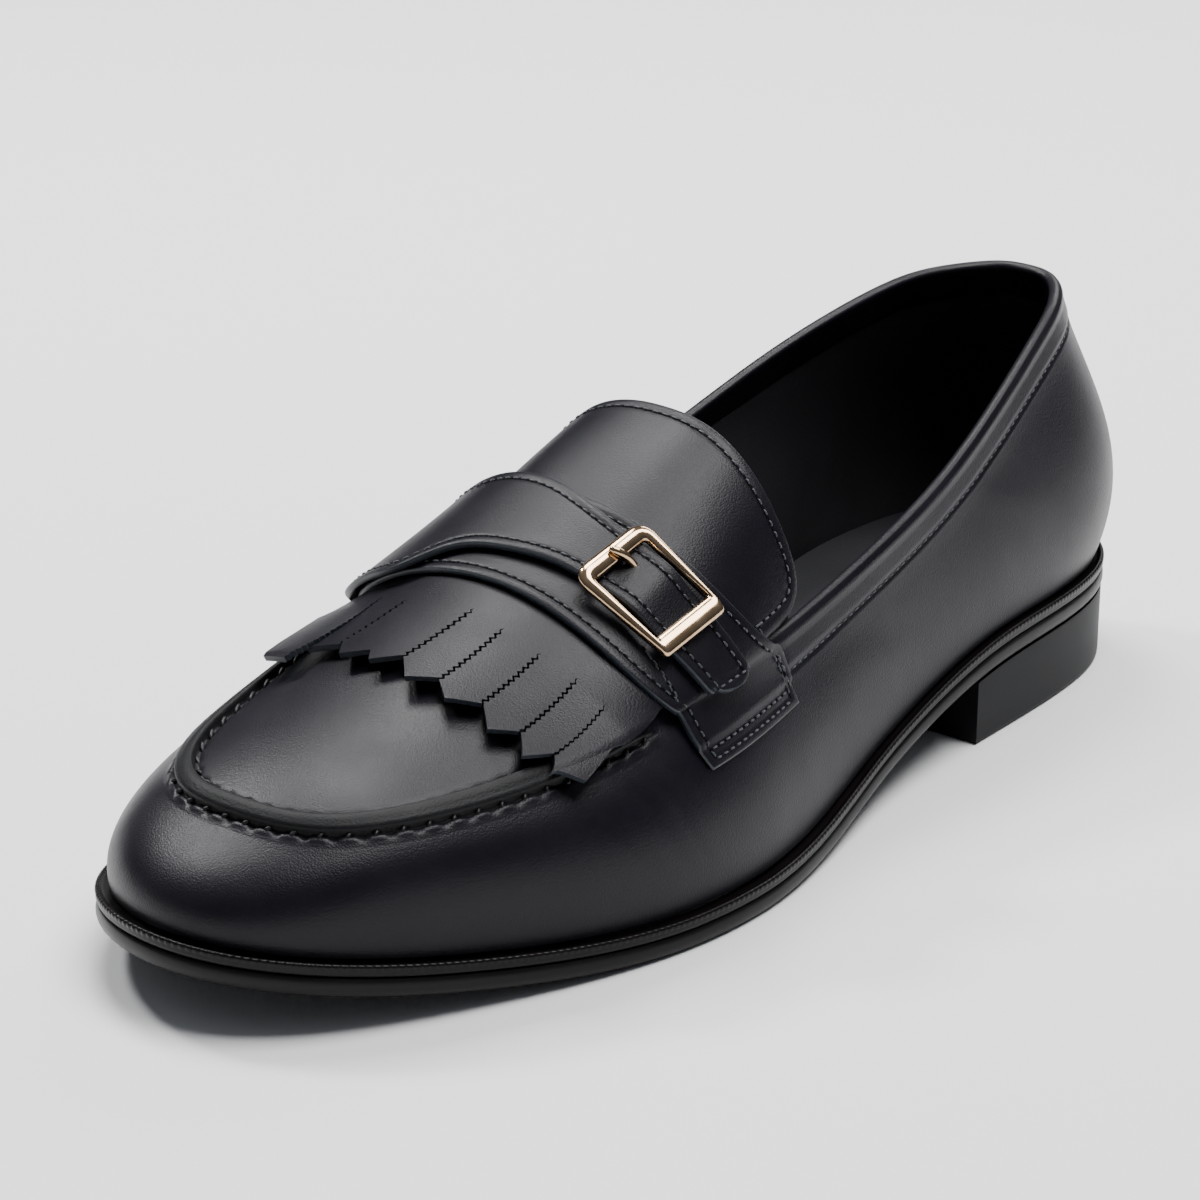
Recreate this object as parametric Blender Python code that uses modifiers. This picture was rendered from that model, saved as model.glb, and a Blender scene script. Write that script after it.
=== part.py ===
"""Kiltie loafer, left shoe, size EU 42 to 43.

Built as it is made: outsole, welt and heel block, an insole, one lasted upper,
then tongue, kiltie, saddle, strap and buckle laid over the vamp.
Sizes are in millimetres and turned to metres when a mesh is made.
A station is the distance from the back of the sole; the toe points to -Y,
the outer (lateral) side is +X and the floor is Z = 0. The origin is on the floor
in the middle of the shoe's box.
"""
import math

import bmesh
import bpy
import numpy as np

MM = 0.001
COLLECTION = "kiltie_loafer"

SHOE_LENGTH = 300.0
ORIGIN_STATION = 149.05
ORIGIN_X = 0.55
HEEL_LIFT = 16.5
TOE_SPRING = 11.5
FLAT_FROM = 184.0
FLAT_TO = 207.0
TOE_CURVE = 1.8
BREAST_STATION = 84.5
GAP = 0.3

# Smallest distance between two points of a mesh, and the angle that shades as an edge
MERGE = 0.02
SHARP_ANGLE = 40.0

UPPER_WALL = 1.9
OUTSOLE_EDGE = 4.2
# Station and the height of outsole and welt together, then how far the welt stands out
EDGE_HEIGHT = [(0.0, 7.3), (70.0, 7.3), (115.0, 6.8), (160.0, 7.0), (300.0, 7.0)]
LEDGE_WIDTH = [(0.0, 2.0), (20.0, 2.2), (120.0, 2.4), (170.0, 3.0), (300.0, 3.0)]
INSOLE_THICK = 2.2
INSOLE_INSET = 3.4
INSOLE_ROUND = 0.7
HEEL_INSET = 0.4
HEEL_ROUND = 0.8

# Outsole edge, bottom to top: inset from the sole's edge, share of OUTSOLE_EDGE
OUTSOLE_PROFILE = [(1.6, 0.0), (0.7, 0.12), (0.1, 0.45), (0.3, 0.85), (0.8, 1.0)]
# Welt edge: inset and height over the outsole, then inset and depth under the welt's top
WELT_FOOT = [(0.9, 0.0), (0.4, 0.5)]
WELT_RIDGE = [(0.0, 0.9), (0.3, 0.2), (1.0, 0.0)]

# Rise of the outsole's underside over the floor, as a share of HEEL_LIFT
HEEL_RISE = [(0.0, 1.06), (45.0, 1.02), (80.0, 0.93), (106.0, 0.64), (136.0, 0.27), (164.0, 0.05), (184.0, 0.0)]

# Sections of the shoe, heel to toe. Sole edge: station, lateral x, medial x
SOLE_SECTIONS = [
    (7.0, 17.0, -17.5),
    (20.0, 27.2, -27.0),
    (40.0, 32.9, -31.0),
    (64.0, 35.4, -30.6),
    (92.0, 37.3, -27.2),
    (122.0, 40.8, -25.6),
    (152.0, 48.0, -31.0),
    (180.0, 54.0, -42.0),
    (206.0, 54.3, -50.3),
    (232.0, 48.8, -53.8),
    (256.0, 40.0, -50.0),
    (276.0, 30.6, -41.0),
    (290.0, 20.3, -29.0),
    (298.0, 8.5, -14.5),
]
TOE_X = -3.0

# Top edge of the wall, a row for each section: station, x, z, and how far the wall
# leans out at the sole and in at its top, in degrees
LATERAL_TOP = [
    (17.8, 8.4, 87.8, 24.0, 18.0),
    (27.0, 15.6, 86.2, 20.0, 16.0),
    (42.0, 20.8, 81.6, 14.0, 14.0),
    (66.0, 25.8, 71.8, 8.0, 12.0),
    (93.0, 30.0, 61.6, 5.0, 9.0),
    (122.0, 32.8, 53.8, 4.0, 8.0),
    (152.0, 35.2, 47.8, 5.0, 14.0),
    (178.0, 38.2, 45.0, 8.0, 29.0),
    (203.0, 39.6, 41.6, 9.0, 48.0),
    (228.0, 37.4, 38.6, 9.0, 55.0),
    (249.0, 31.8, 37.0, 9.0, 58.0),
    (265.0, 24.8, 36.4, 8.0, 60.0),
    (274.0, 16.6, 36.0, 10.0, 60.0),
    (278.0, 7.0, 36.0, 11.0, 60.0),
]
MEDIAL_TOP = [
    (17.8, -8.6, 88.2, 24.0, 18.0),
    (27.0, -15.8, 87.6, 18.0, 15.0),
    (42.0, -21.2, 85.8, 10.0, 13.0),
    (66.0, -27.6, 78.6, 2.0, 10.0),
    (93.0, -31.6, 69.6, -6.0, 8.0),
    (122.0, -33.6, 60.6, -12.0, 8.0),
    (152.0, -36.4, 52.0, -8.0, 14.0),
    (178.0, -38.6, 48.0, 4.0, 29.0),
    (203.0, -39.8, 45.0, 8.0, 48.0),
    (228.0, -37.4, 42.0, 8.0, 53.0),
    (248.0, -34.4, 39.0, 10.0, 56.0),
    (263.0, -30.0, 37.0, 13.0, 56.0),
    (273.0, -22.4, 36.2, 14.0, 58.0),
    (278.0, -12.0, 36.0, 14.0, 58.0),
]
HEEL_BACK_TOP = (15.6, 0.0, 88.4, 26.0, 20.0)
TOE_TOP = (278.8, -2.6, 36.0, 13.0, 60.0)
FOOT_HANDLE = 0.42
TOP_HANDLE = 0.36

# Crown line of the vamp: station, z, and the two powers that round the section there
CROWN = [
    (130.0, 92.0, 2.6, 0.5),
    (150.0, 85.0, 2.6, 0.5),
    (165.0, 79.0, 2.5, 0.54),
    (180.0, 72.0, 2.3, 0.58),
    (200.0, 63.5, 2.1, 0.68),
    (220.0, 56.0, 2.0, 0.8),
    (240.0, 49.0, 2.0, 0.86),
    (255.0, 44.8, 2.0, 0.9),
    (268.0, 40.6, 2.0, 0.93),
    (278.8, 36.0, 2.0, 0.95),
]
VAMP_SHOULDER = 0.9

# Cross profiles laid on the wall and the vamp: distance from the top edge, height
COLLAR_BAND = [(9.0, 0.0), (8.0, 0.9), (4.0, 1.0), (1.2, 0.8)]
APRON_WALL = [(6.5, 0.0), (4.2, 0.0), (2.0, 0.2), (0.8, 0.6)]
APRON_ROLL = [(0.9, 1.5), (2.1, 1.8), (3.2, 1.5), (4.0, 0.2)]
COLLAR_EDGE = 0.4
APRON_EDGE = 1.0
BAND_ENDS = (158.0, 166.0)
ROLL_STARTS = (204.0, 211.0)
ROLL_CROSSING = (0.62, 0.8)
THROAT_SECTION = 7.5
# Rows of the plain wall, as shares of the way up to the band or seam
WALL_LEVELS = [0.0, 0.15, 0.33, 0.53, 0.74, 0.94]
WALL_SAMPLES = 60
VAMP_STEPS = 8
COLUMNS_PER_SECTION = 2

ACROSS_STEP = 0.08

# Pieces laid over the vamp. Across the shoe 0 is the crown line, 1 the lateral and -1 the
# medial top edge, and 2 the sole. Lifts are heights of a piece's two faces over the vamp.
TONGUE_LIFT = (0.3, 1.7)
TONGUE_FRONT = 190.0
# across, back edge
TONGUE_ROWS = [
    (-0.88, 165.0),
    (-0.85, 156.0),
    (-0.78, 152.0),
    (-0.62, 150.5),
    (-0.3, 150.2),
    (0.0, 150.0),
    (0.3, 150.2),
    (0.62, 150.5),
    (0.78, 152.0),
    (0.85, 156.0),
    (0.88, 165.0),
]
KILTIE_LIFT = (0.5, 1.7)
KILTIE_ROOT = 195.5
KILTIE_CUT_TOP = 213.0
# Half the width of a cut between two strips, as a share across
KILTIE_CUT = 0.008
KILTIE_STEPS = 3
# Share of the outer corner's shortness that the middle of a tip has
KILTIE_MIDDLE = 0.2
# Strips of the fringe, medial to lateral: edges across at the cut's top and at the tips,
# tip station, how far the outer corner falls short, and how far the tip stands off the vamp
KILTIE_STRIPS = [
    (-0.86, -0.56, -1.0, -0.66, 230.0, 5.0, 4.5),
    (-0.56, -0.4, -0.66, -0.42, 232.0, 5.0, 1.2),
    (-0.4, -0.26, -0.42, -0.24, 234.0, 5.0, 2.4),
    (-0.26, -0.12, -0.24, -0.06, 235.0, 5.0, 2.0),
    (-0.12, 0.03, -0.06, 0.12, 236.0, 5.0, 2.2),
    (0.03, 0.18, 0.12, 0.32, 237.0, 5.0, 2.0),
    (0.18, 0.34, 0.32, 0.52, 237.0, 5.0, 2.2),
    (0.34, 0.5, 0.52, 0.76, 237.0, 5.0, 2.0),
    (0.5, 0.9, 0.76, 1.12, 233.0, 9.0, 1.6),
]
SADDLE_LIFT = (2.0, 3.4)
SADDLE_END_LIFT = (0.4, 1.9)
SADDLE_DROP = (0.92, 1.16)
# across, back edge, front edge
SADDLE_ROWS = [
    (-1.32, 163.8, 196.8),
    (-1.12, 162.8, 198.2),
    (-0.9, 167.0, 200.0),
    (-0.7, 172.8, 203.4),
    (-0.5, 176.9, 205.4),
    (-0.25, 179.0, 206.2),
    (0.0, 179.4, 206.2),
    (0.25, 179.0, 206.2),
    (0.5, 176.9, 205.4),
    (0.7, 172.8, 203.4),
    (0.9, 167.0, 200.2),
    (1.12, 162.8, 198.6),
    (1.32, 163.8, 196.8),
]
STRAP_LIFT = (4.0, 5.5)
# across, back edge, front edge
STRAP_ROWS = [
    (-1.1, 162.6, 198.8),
    (-0.9, 166.8, 202.0),
    (-0.7, 172.4, 205.4),
    (-0.5, 176.0, 207.6),
    (-0.36, 177.0, 207.4),
    (-0.24, 177.6, 202.4),
    (-0.05, 179.4, 199.2),
    (0.15, 182.4, 197.6),
    (0.35, 183.4, 196.8),
    (0.6, 182.0, 195.2),
    (0.84, 178.6, 190.8),
    (0.95, 178.0, 188.4),
    (1.0, 179.6, 186.2),
]
# Buckle: corners across and station, bar widths at the strap side, the flanks and the tip side
BUCKLE_CORNERS = [(0.27, 181.6), (0.27, 199.0), (0.62, 197.2), (0.62, 180.4)]
BUCKLE_BARS = (3.6, 2.2, 4.0)
BUCKLE_THICK = 2.4
BUCKLE_LIFT = 5.7
BUCKLE_ROUND = 3.0
BUCKLE_SIDES = 8
PRONG_ACROSS = (0.25, 0.43)
PRONG_STATION = 190.0
PRONG_RADIUS = 1.0
PRONG_REST = 0.025
PRONG_CLEAR = 0.5
PRONG_BEND = 0.4

# Colours: red, green, blue, roughness, metallic
FINISHES = {
    "black_calf_leather": (0.022, 0.023, 0.028, 0.42, 0.0),
    "black_collar_lining": (0.03, 0.03, 0.032, 0.6, 0.0),
    "black_welt": (0.012, 0.011, 0.011, 0.38, 0.0),
    "black_sole_leather": (0.016, 0.013, 0.012, 0.5, 0.0),
    "black_heel_stack": (0.012, 0.011, 0.011, 0.45, 0.0),
    "champagne_plated_metal": (0.72, 0.58, 0.42, 0.16, 1.0),
}


def clear_scene():
    for item in list(bpy.data.objects):
        bpy.data.objects.remove(item, do_unlink=True)
    group = bpy.data.collections.new(COLLECTION)
    bpy.context.scene.collection.children.link(group)
    return group


def spline(knots, values, at, closed=False):
    """Natural cubic spline through a table's rows; a closed one repeats its first row last."""
    knots = np.asarray(knots, float)
    values = np.asarray(values, float)
    at = np.asarray(at, float)
    count = len(knots)
    width = np.diff(knots)
    extra = (1,) * (values.ndim - 1)
    slope = np.diff(values, axis=0) / width.reshape((-1,) + extra)
    matrix = np.zeros((count, count))
    right = np.zeros_like(values)
    for i in range(1, count - 1):
        matrix[i, i - 1:i + 2] = width[i - 1], 2 * (width[i - 1] + width[i]), width[i]
        right[i] = 6 * (slope[i] - slope[i - 1])
    if closed:
        matrix[0, 0], matrix[0, -1] = 1, -1
        matrix[-1, [0, 1, -2, -1]] = 2 * width[0], width[0], width[-1], 2 * width[-1]
        right[-1] = 6 * (slope[0] - slope[-1])
    else:
        matrix[0, 0] = matrix[-1, -1] = 1
    bend = np.linalg.solve(matrix, right)
    i = np.clip(np.searchsorted(knots, at) - 1, 0, count - 2)
    span = width[i].reshape((-1,) + extra)
    near = (knots[i + 1] - at).reshape((-1,) + extra) / span
    far = 1 - near
    curve = (near ** 3 - near) * bend[i] + (far ** 3 - far) * bend[i + 1]
    return near * values[i] + far * values[i + 1] + curve * span ** 2 / 6


def table(rows, at):
    """Straight-line reading of a two-column table."""
    rows = np.asarray(rows, float)
    return np.interp(at, rows[:, 0], rows[:, 1])


def section_table():
    """All sections in one closed loop: heel back, lateral side, toe, medial side."""
    pairs = list(zip(SOLE_SECTIONS, LATERAL_TOP, MEDIAL_TOP))
    rows = [(0.0, 0.0) + HEEL_BACK_TOP]
    rows += [(sole[0], sole[1]) + lateral for sole, lateral, _ in pairs]
    rows += [(SHOE_LENGTH, TOE_X) + TOE_TOP]
    rows += [(sole[0], sole[2]) + medial for sole, _, medial in reversed(pairs)]
    rows += [rows[0]]
    rows = np.array(rows)
    steps = np.hypot(*np.diff(rows[:, :2], axis=0).T)
    return np.concatenate([[0.0], np.cumsum(steps)]) / steps.sum(), rows


KNOTS, SECTIONS = section_table()
SECTION_NUMBERS = np.arange(len(KNOTS))
TOE_NUMBER = len(SOLE_SECTIONS) + 1
LOOP = 2 * TOE_NUMBER


def around(number):
    """Every column at a section number: 0 heel back, TOE_NUMBER toe, LOOP heel back again."""
    place = np.interp(np.mod(number, LOOP), SECTION_NUMBERS, KNOTS)
    return spline(KNOTS, SECTIONS, place, closed=True)


def outward(number):
    """Level direction pointing out of the sole's edge, as (station, x)."""
    step = 0.01
    along = around(number + step)[:, :2] - around(number - step)[:, :2]
    normal = np.stack([-along[:, 1], along[:, 0]], 1)
    return normal / np.hypot(normal[:, 0], normal[:, 1])[:, None]


def sole_bottom(station):
    """Height of the outsole's underside: heel seat, arch, flat tread and toe spring."""
    station = np.asarray(station, float)
    rise = np.asarray(HEEL_RISE)
    back = spline(rise[:, 0], rise[:, 1], np.clip(station, 0.0, FLAT_FROM))
    front = np.clip((station - FLAT_TO) / (SHOE_LENGTH - FLAT_TO), 0.0, None) ** TOE_CURVE
    return np.where(station < FLAT_FROM, HEEL_LIFT * np.maximum(back, 0.0), TOE_SPRING * front)


def seat(station):
    """Height of the welt's top, where the upper stands."""
    return sole_bottom(station) + table(EDGE_HEIGHT, station)


def edge_point(number, inset):
    """Plan place on the sole's edge, moved inward."""
    return around(number)[:, :2] - outward(number) * np.reshape(inset, (-1, 1))


def wall(number, level):
    """Outer wall of the upper; level 0 is the sole, 1 the top edge."""
    row = around(number)
    normal = outward(number)
    foot = row[:, :2] - normal * table(LEDGE_WIDTH, row[:, 0])[:, None]
    lean_out = np.radians(row[:, 5])[:, None]
    lean_in = np.radians(row[:, 6])[:, None]
    clear = GAP + UPPER_WALL * np.maximum(-np.sin(lean_out), 0.0)
    low = np.concatenate([foot, seat(foot[:, 0])[:, None] + clear], 1)
    high = row[:, 2:5]
    out = np.concatenate([normal, np.zeros((len(normal), 1))], 1)
    up = np.array([0.0, 0.0, 1.0])
    chord = np.linalg.norm(high - low, axis=1)[:, None]
    low_handle = low + (out * np.sin(lean_out) + up * np.cos(lean_out)) * chord * FOOT_HANDLE
    high_handle = high + (out * np.sin(lean_in) - up * np.cos(lean_in)) * chord * TOP_HANDLE
    v = np.asarray(level, float).reshape(len(normal), -1, 1)
    low, high, low_handle, high_handle = (q[:, None, :] for q in (low, high, low_handle, high_handle))
    return (low * (1 - v) ** 3 + 3 * low_handle * v * (1 - v) ** 2
            + 3 * high_handle * v ** 2 * (1 - v) + high * v ** 3)


SIDE_NUMBERS = np.linspace(0.0, TOE_NUMBER, 400)
LATERAL_STATIONS = around(SIDE_NUMBERS)[:, 2]
MEDIAL_STATIONS = around(LOOP - SIDE_NUMBERS)[:, 2]


def lateral_number(station):
    return np.interp(station, LATERAL_STATIONS, SIDE_NUMBERS)


def medial_number(station):
    return LOOP - np.interp(station, MEDIAL_STATIONS, SIDE_NUMBERS)


def vamp_frame(station):
    """Both top edges at a station, the crown height and the powers of the arch."""
    lateral = around(lateral_number(station))[:, 2:5]
    medial = around(medial_number(station))[:, 2:5]
    crown = np.asarray(CROWN)
    height, fullness, power = spline(crown[:, 0], crown[:, 1:], station).T
    return lateral, medial, height, fullness, power


def vamp_height(station, x):
    """Height of the vamp over a plan place."""
    lateral, medial, height, fullness, power = vamp_frame(station)
    middle = (lateral + medial) / 2
    half = np.maximum((lateral[:, 1] - medial[:, 1]) / 2, 0.1)
    u = np.clip((x - middle[:, 1]) / half, -1.0, 1.0)
    edge = middle[:, 2] + (lateral[:, 2] - medial[:, 2]) / 2 * u
    arch = (1 - (VAMP_SHOULDER * np.abs(u)) ** fullness) ** power
    arch_at_edge = (1 - VAMP_SHOULDER ** fullness) ** power
    return edge + np.maximum(height - middle[:, 2], 0.0) * (arch - arch_at_edge) / (1 - arch_at_edge)


def vamp_place(station, across):
    """Plan place on the vamp for a share across, -1 medial edge to 1 lateral edge."""
    lateral, medial = vamp_frame(station)[:2]
    u = np.sin(np.pi / 2 * across)
    return (lateral[:, 1] + medial[:, 1]) / 2 + (lateral[:, 1] - medial[:, 1]) / 2 * u


def skin(station, across):
    """Outer surface of the shoe at a station; across beyond 1 or -1 runs down the wall."""
    station = np.atleast_1d(np.asarray(station, float))
    across = np.broadcast_to(np.asarray(across, float), station.shape)
    inside = np.clip(across, -1.0, 1.0)
    x = vamp_place(station, inside)
    point = np.stack([station, x, vamp_height(station, x)], 1)
    for side, number in ((1.0, lateral_number), (-1.0, medial_number)):
        beyond = side * across > 1.0
        if beyond.any():
            level = 2.0 - side * across[beyond]
            point[beyond] = wall(number(station[beyond]), level)[:, 0]
    return point


def lifted(station, across, lift):
    """Point over the outer surface, moved out along its normal."""
    step_along = 0.6
    step_across = 0.03
    forward = skin(station + step_along, across) - skin(station - step_along, across)
    sideways = skin(station, across + step_across) - skin(station, across - step_across)
    normal = np.cross(forward, sideways)
    normal /= np.linalg.norm(normal, axis=1)[:, None]
    return skin(station, across) + normal * np.reshape(lift, (-1, 1))


def to_world(points):
    """Station, x, z in millimetres to world metres, the toe towards -Y."""
    points = np.asarray(points, float)
    return np.stack([points[:, 1] - ORIGIN_X, ORIGIN_STATION - points[:, 0], points[:, 2]], 1) * MM


def finish(name):
    made = bpy.data.materials.get(name)
    if made:
        return made
    red, green, blue, roughness, metallic = FINISHES[name]
    made = bpy.data.materials.new(name)
    made.use_nodes = True
    shader = made.node_tree.nodes["Principled BSDF"]
    shader.inputs["Base Color"].default_value = (red, green, blue, 1.0)
    shader.inputs["Roughness"].default_value = roughness
    shader.inputs["Metallic"].default_value = metallic
    return made


def add_object(group, name, points, faces, material):
    """A mesh object from millimetre points; shared points are merged and faces point out."""
    mesh = bpy.data.meshes.new(name)
    work = bmesh.new()
    verts = [work.verts.new(place) for place in to_world(points)]
    for face in faces:
        corners = dict.fromkeys(face)
        if len(corners) > 2:
            work.faces.new([verts[i] for i in corners])
    bmesh.ops.remove_doubles(work, verts=work.verts, dist=MERGE * MM)
    bmesh.ops.dissolve_degenerate(work, edges=work.edges, dist=MERGE * MM)
    bmesh.ops.recalc_face_normals(work, faces=work.faces)
    work.to_mesh(mesh)
    work.free()
    mesh.materials.append(finish(material))
    mesh.shade_smooth()
    mesh.set_sharp_from_angle(angle=math.radians(SHARP_ANGLE))
    item = bpy.data.objects.new(name, mesh)
    group.objects.link(item)
    return item


def grid_faces(rows, columns, start=0, closed=False):
    """Quads of a grid of points stored row by row."""
    faces = []
    for row in range(rows if closed else rows - 1):
        for column in range(columns - 1):
            a = start + row * columns + column
            b = start + (row + 1) % rows * columns + column
            faces.append((a, b, b + 1, a + 1))
    return faces


def thicken(item, thickness, offset):
    shell = item.modifiers.new("Solidify", "SOLIDIFY")
    shell.thickness = thickness * MM
    shell.offset = offset
    shell.use_quality_normals = True
    return item


def columns_round():
    """Section numbers of the columns round the shoe."""
    return np.arange(0, LOOP, 1.0 / COLUMNS_PER_SECTION)


def ladder_faces(ring, count):
    """Cap of a ring whose columns pair lateral with medial, as quads across the shoe."""
    half = count // 2
    return [(ring[i], ring[i + 1], ring[(count - i - 1) % count], ring[(count - i) % count])
            for i in range(half)]


def slab(group, name, material, profile):
    """A layer of the sole: rings of (inset, height function), bottom to top, capped across."""
    number = columns_round()
    count = len(number)
    points = []
    for inset, height in profile:
        plan = edge_point(number, inset)
        points.append(np.column_stack([plan, height(plan[:, 0])]))
    rings = len(profile)
    faces = []
    for ring in range(rings - 1):
        for i in range(count):
            j = (i + 1) % count
            faces.append((ring * count + i, ring * count + j, (ring + 1) * count + j, (ring + 1) * count + i))
    faces += ladder_faces(list(range(count)), count)
    faces += ladder_faces([(rings - 1) * count + i for i in range(count)], count)
    return add_object(group, name, np.concatenate(points), faces, material)


def make_outsole(group):
    """Leather outsole with a rounded edge, flat under the ball of the foot."""
    def at(share):
        return lambda station: sole_bottom(station) + OUTSOLE_EDGE * share
    profile = [(inset, at(share)) for inset, share in OUTSOLE_PROFILE]
    return slab(group, "outsole", "black_sole_leather", profile)


def make_welt(group):
    """Welt and heel rand between outsole and upper, with a rolled top ridge."""
    def from_outsole(extra):
        return lambda station: sole_bottom(station) + OUTSOLE_EDGE + GAP + extra

    def under_seat(depth):
        return lambda station: seat(station) - depth
    profile = [(inset, from_outsole(height)) for inset, height in WELT_FOOT]
    profile += [(inset, under_seat(depth)) for inset, depth in WELT_RIDGE]
    return slab(group, "welt", "black_welt", profile)


def make_heel_block(group):
    """Heel block under the seat, straight at the breast and flat on the floor."""
    number = columns_round()
    count = len(number)
    plan = edge_point(number, HEEL_INSET)
    keep = [i for i in range(count) if plan[i, 0] < BREAST_STATION - HEEL_ROUND]
    lateral = [i for i in keep if i < count // 2]
    medial = [i for i in keep if i > count // 2]
    side = np.array([lateral[-1] + 1, medial[0] - 1])
    breast = []
    for inner, outer in zip((lateral[-1], medial[0]), side):
        share = (BREAST_STATION - plan[inner, 0]) / (plan[outer, 0] - plan[inner, 0])
        breast.append(plan[inner] + (plan[outer] - plan[inner]) * share)
    ring = [breast[1]] + [plan[i] for i in medial] + [plan[i] for i in lateral] + [breast[0]]
    ring = np.array(ring)
    size = len(ring)
    top = np.column_stack([ring, sole_bottom(ring[:, 0]) - GAP])
    bottom = np.column_stack([ring, np.zeros(size)])
    bevel = np.column_stack([ring, np.full(size, HEEL_ROUND)])
    inward = ring.mean(axis=0) - ring
    bottom[:, :2] += inward / np.hypot(*inward.T)[:, None] * HEEL_ROUND
    faces = grid_faces(3, size)
    for start in (0, 2 * size):
        faces += [(start + i, start + i + 1, start + size - 2 - i, start + size - 1 - i)
                  for i in range(size // 2)]
    for row in range(2):
        faces.append((row * size, (row + 1) * size, (row + 2) * size - 1, (row + 1) * size - 1))
    return add_object(group, "heel_block", np.concatenate([bottom, bevel, top]), faces, "black_heel_stack")


def make_insole(group):
    """Insole lying on the sole inside the upper."""
    def from_seat(extra):
        return lambda station: seat(station) + extra
    number = columns_round()
    inset = table(LEDGE_WIDTH, around(number)[:, 0]) + INSOLE_INSET
    profile = [(inset, from_seat(GAP)), (inset, from_seat(GAP + INSOLE_THICK - INSOLE_ROUND)),
               (inset + INSOLE_ROUND, from_seat(GAP + INSOLE_THICK))]
    return slab(group, "insole", "black_collar_lining", profile)


def fade(station, start, end):
    return np.clip((np.asarray(station, float) - start) / (end - start), 0.0, 1.0)


def wall_grid(number):
    """Outer wall with the collar band and the apron seam raised from it."""
    top_station = around(number)[:, 2]
    band = 1.0 - fade(top_station, *BAND_ENDS)
    roll = fade(top_station, *ROLL_STARTS)
    fine = np.linspace(0.0, 1.0, WALL_SAMPLES)
    curve = wall(number, np.tile(fine, (len(number), 1)))
    lengths = np.linalg.norm(np.diff(curve, axis=1), axis=2)
    reach = np.concatenate([np.zeros((len(number), 1)), np.cumsum(lengths, 1)], 1)
    levels, lifts = [], []
    for collar, apron in zip(COLLAR_BAND, APRON_WALL):
        distance = np.where(top_station < BAND_ENDS[1], collar[0], apron[0])
        levels.append(np.array([np.interp(r[-1] - d, r, fine) for r, d in zip(reach, distance)]))
        lifts.append(collar[1] * band + apron[1] * roll)
    levels.append(np.ones(len(number)))
    lifts.append(COLLAR_EDGE * band + APRON_EDGE * roll)
    low = [levels[0] * share for share in WALL_LEVELS]
    level = np.stack(low + levels, 1)
    lift = np.stack([np.zeros(len(number))] * len(low) + lifts, 1)
    place = wall(number, level)
    step = 0.05
    rise = 0.01
    above = np.minimum(level + rise, 1.0)
    ahead = wall(number + step, level) - wall(number - step, level)
    rising = wall(number, above) - wall(number, above - 2 * rise)
    normal = np.cross(ahead, rising)
    normal /= np.linalg.norm(normal, axis=2)[:, :, None]
    return place + normal * lift[:, :, None]


def vamp_row(number, edge_lateral, edge_medial):
    """One section of the vamp from the lateral to the medial edge, with the rolled seam."""
    sides = []
    for place in (number, LOOP - number):
        row = around(np.array([place]))[0]
        step = 0.02
        along = around(np.array([place + step]))[0, 2:4] - around(np.array([place - step]))[0, 2:4]
        out = np.array([-along[1], along[0]]) / np.hypot(*along)
        raised = fade(row[2], *ROLL_STARTS)
        points = []
        for distance, height in APRON_ROLL:
            plan = row[2:4] - out * distance
            z = vamp_height(plan[:1], plan[1:])[0]
            points.append([plan[0], plan[1], z + height * raised])
        sides.append(np.array(points))
    start, end = sides[0][-1], sides[1][-1]
    share = (1 - np.cos(np.linspace(0.0, np.pi, VAMP_STEPS + 1)[1:-1])) / 2
    middle = start[:2] + (end[:2] - start[:2]) * share[:, None]
    middle = np.column_stack([middle, vamp_height(middle[:, 0], middle[:, 1])])
    return np.concatenate([[edge_lateral], sides[0], middle, sides[1][::-1], [edge_medial]])


def make_upper(group):
    """One lasted upper: wall all round, vamp with its rolled apron seam, open at collar and foot."""
    number = columns_round()
    wall_points = wall_grid(number)
    count, levels = wall_points.shape[:2]
    faces = grid_faces(count, levels, closed=True)
    points = [wall_points.reshape(-1, 3)]
    first = int(THROAT_SECTION * COLUMNS_PER_SECTION)
    last = TOE_NUMBER * COLUMNS_PER_SECTION
    rows = [vamp_row(number[i], wall_points[i, -1], wall_points[(count - i) % count, -1])
            for i in range(first, last + 1)]
    width = len(rows[0])
    faces += grid_faces(len(rows), width, start=count * levels)
    points.append(np.concatenate(rows))
    item = add_object(group, "upper", np.concatenate(points), faces, "black_calf_leather")
    return thicken(item, UPPER_WALL, -1.0)


def sheet(group, name, material, stations, across, lift, thickness):
    """A leather piece over the vamp: its under face, its upper face and the cut edge round it."""
    rows, columns = stations.shape
    places = stations.ravel(), across.ravel()
    lift = np.broadcast_to(lift, stations.shape).ravel()
    points = np.concatenate([lifted(*places, lift), lifted(*places, lift + thickness)])
    count = rows * columns
    faces = grid_faces(rows, columns) + grid_faces(rows, columns, start=count)
    rim = [i * columns for i in range(rows)]
    rim += [(rows - 1) * columns + i for i in range(1, columns)]
    rim += [i * columns - 1 for i in range(rows - 1, 0, -1)]
    rim += list(range(columns - 2, 0, -1))
    for here, after in zip(rim, rim[1:] + rim[:1]):
        faces.append((here, after, after + count, here + count))
    return add_object(group, name, points, faces, material)


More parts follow.
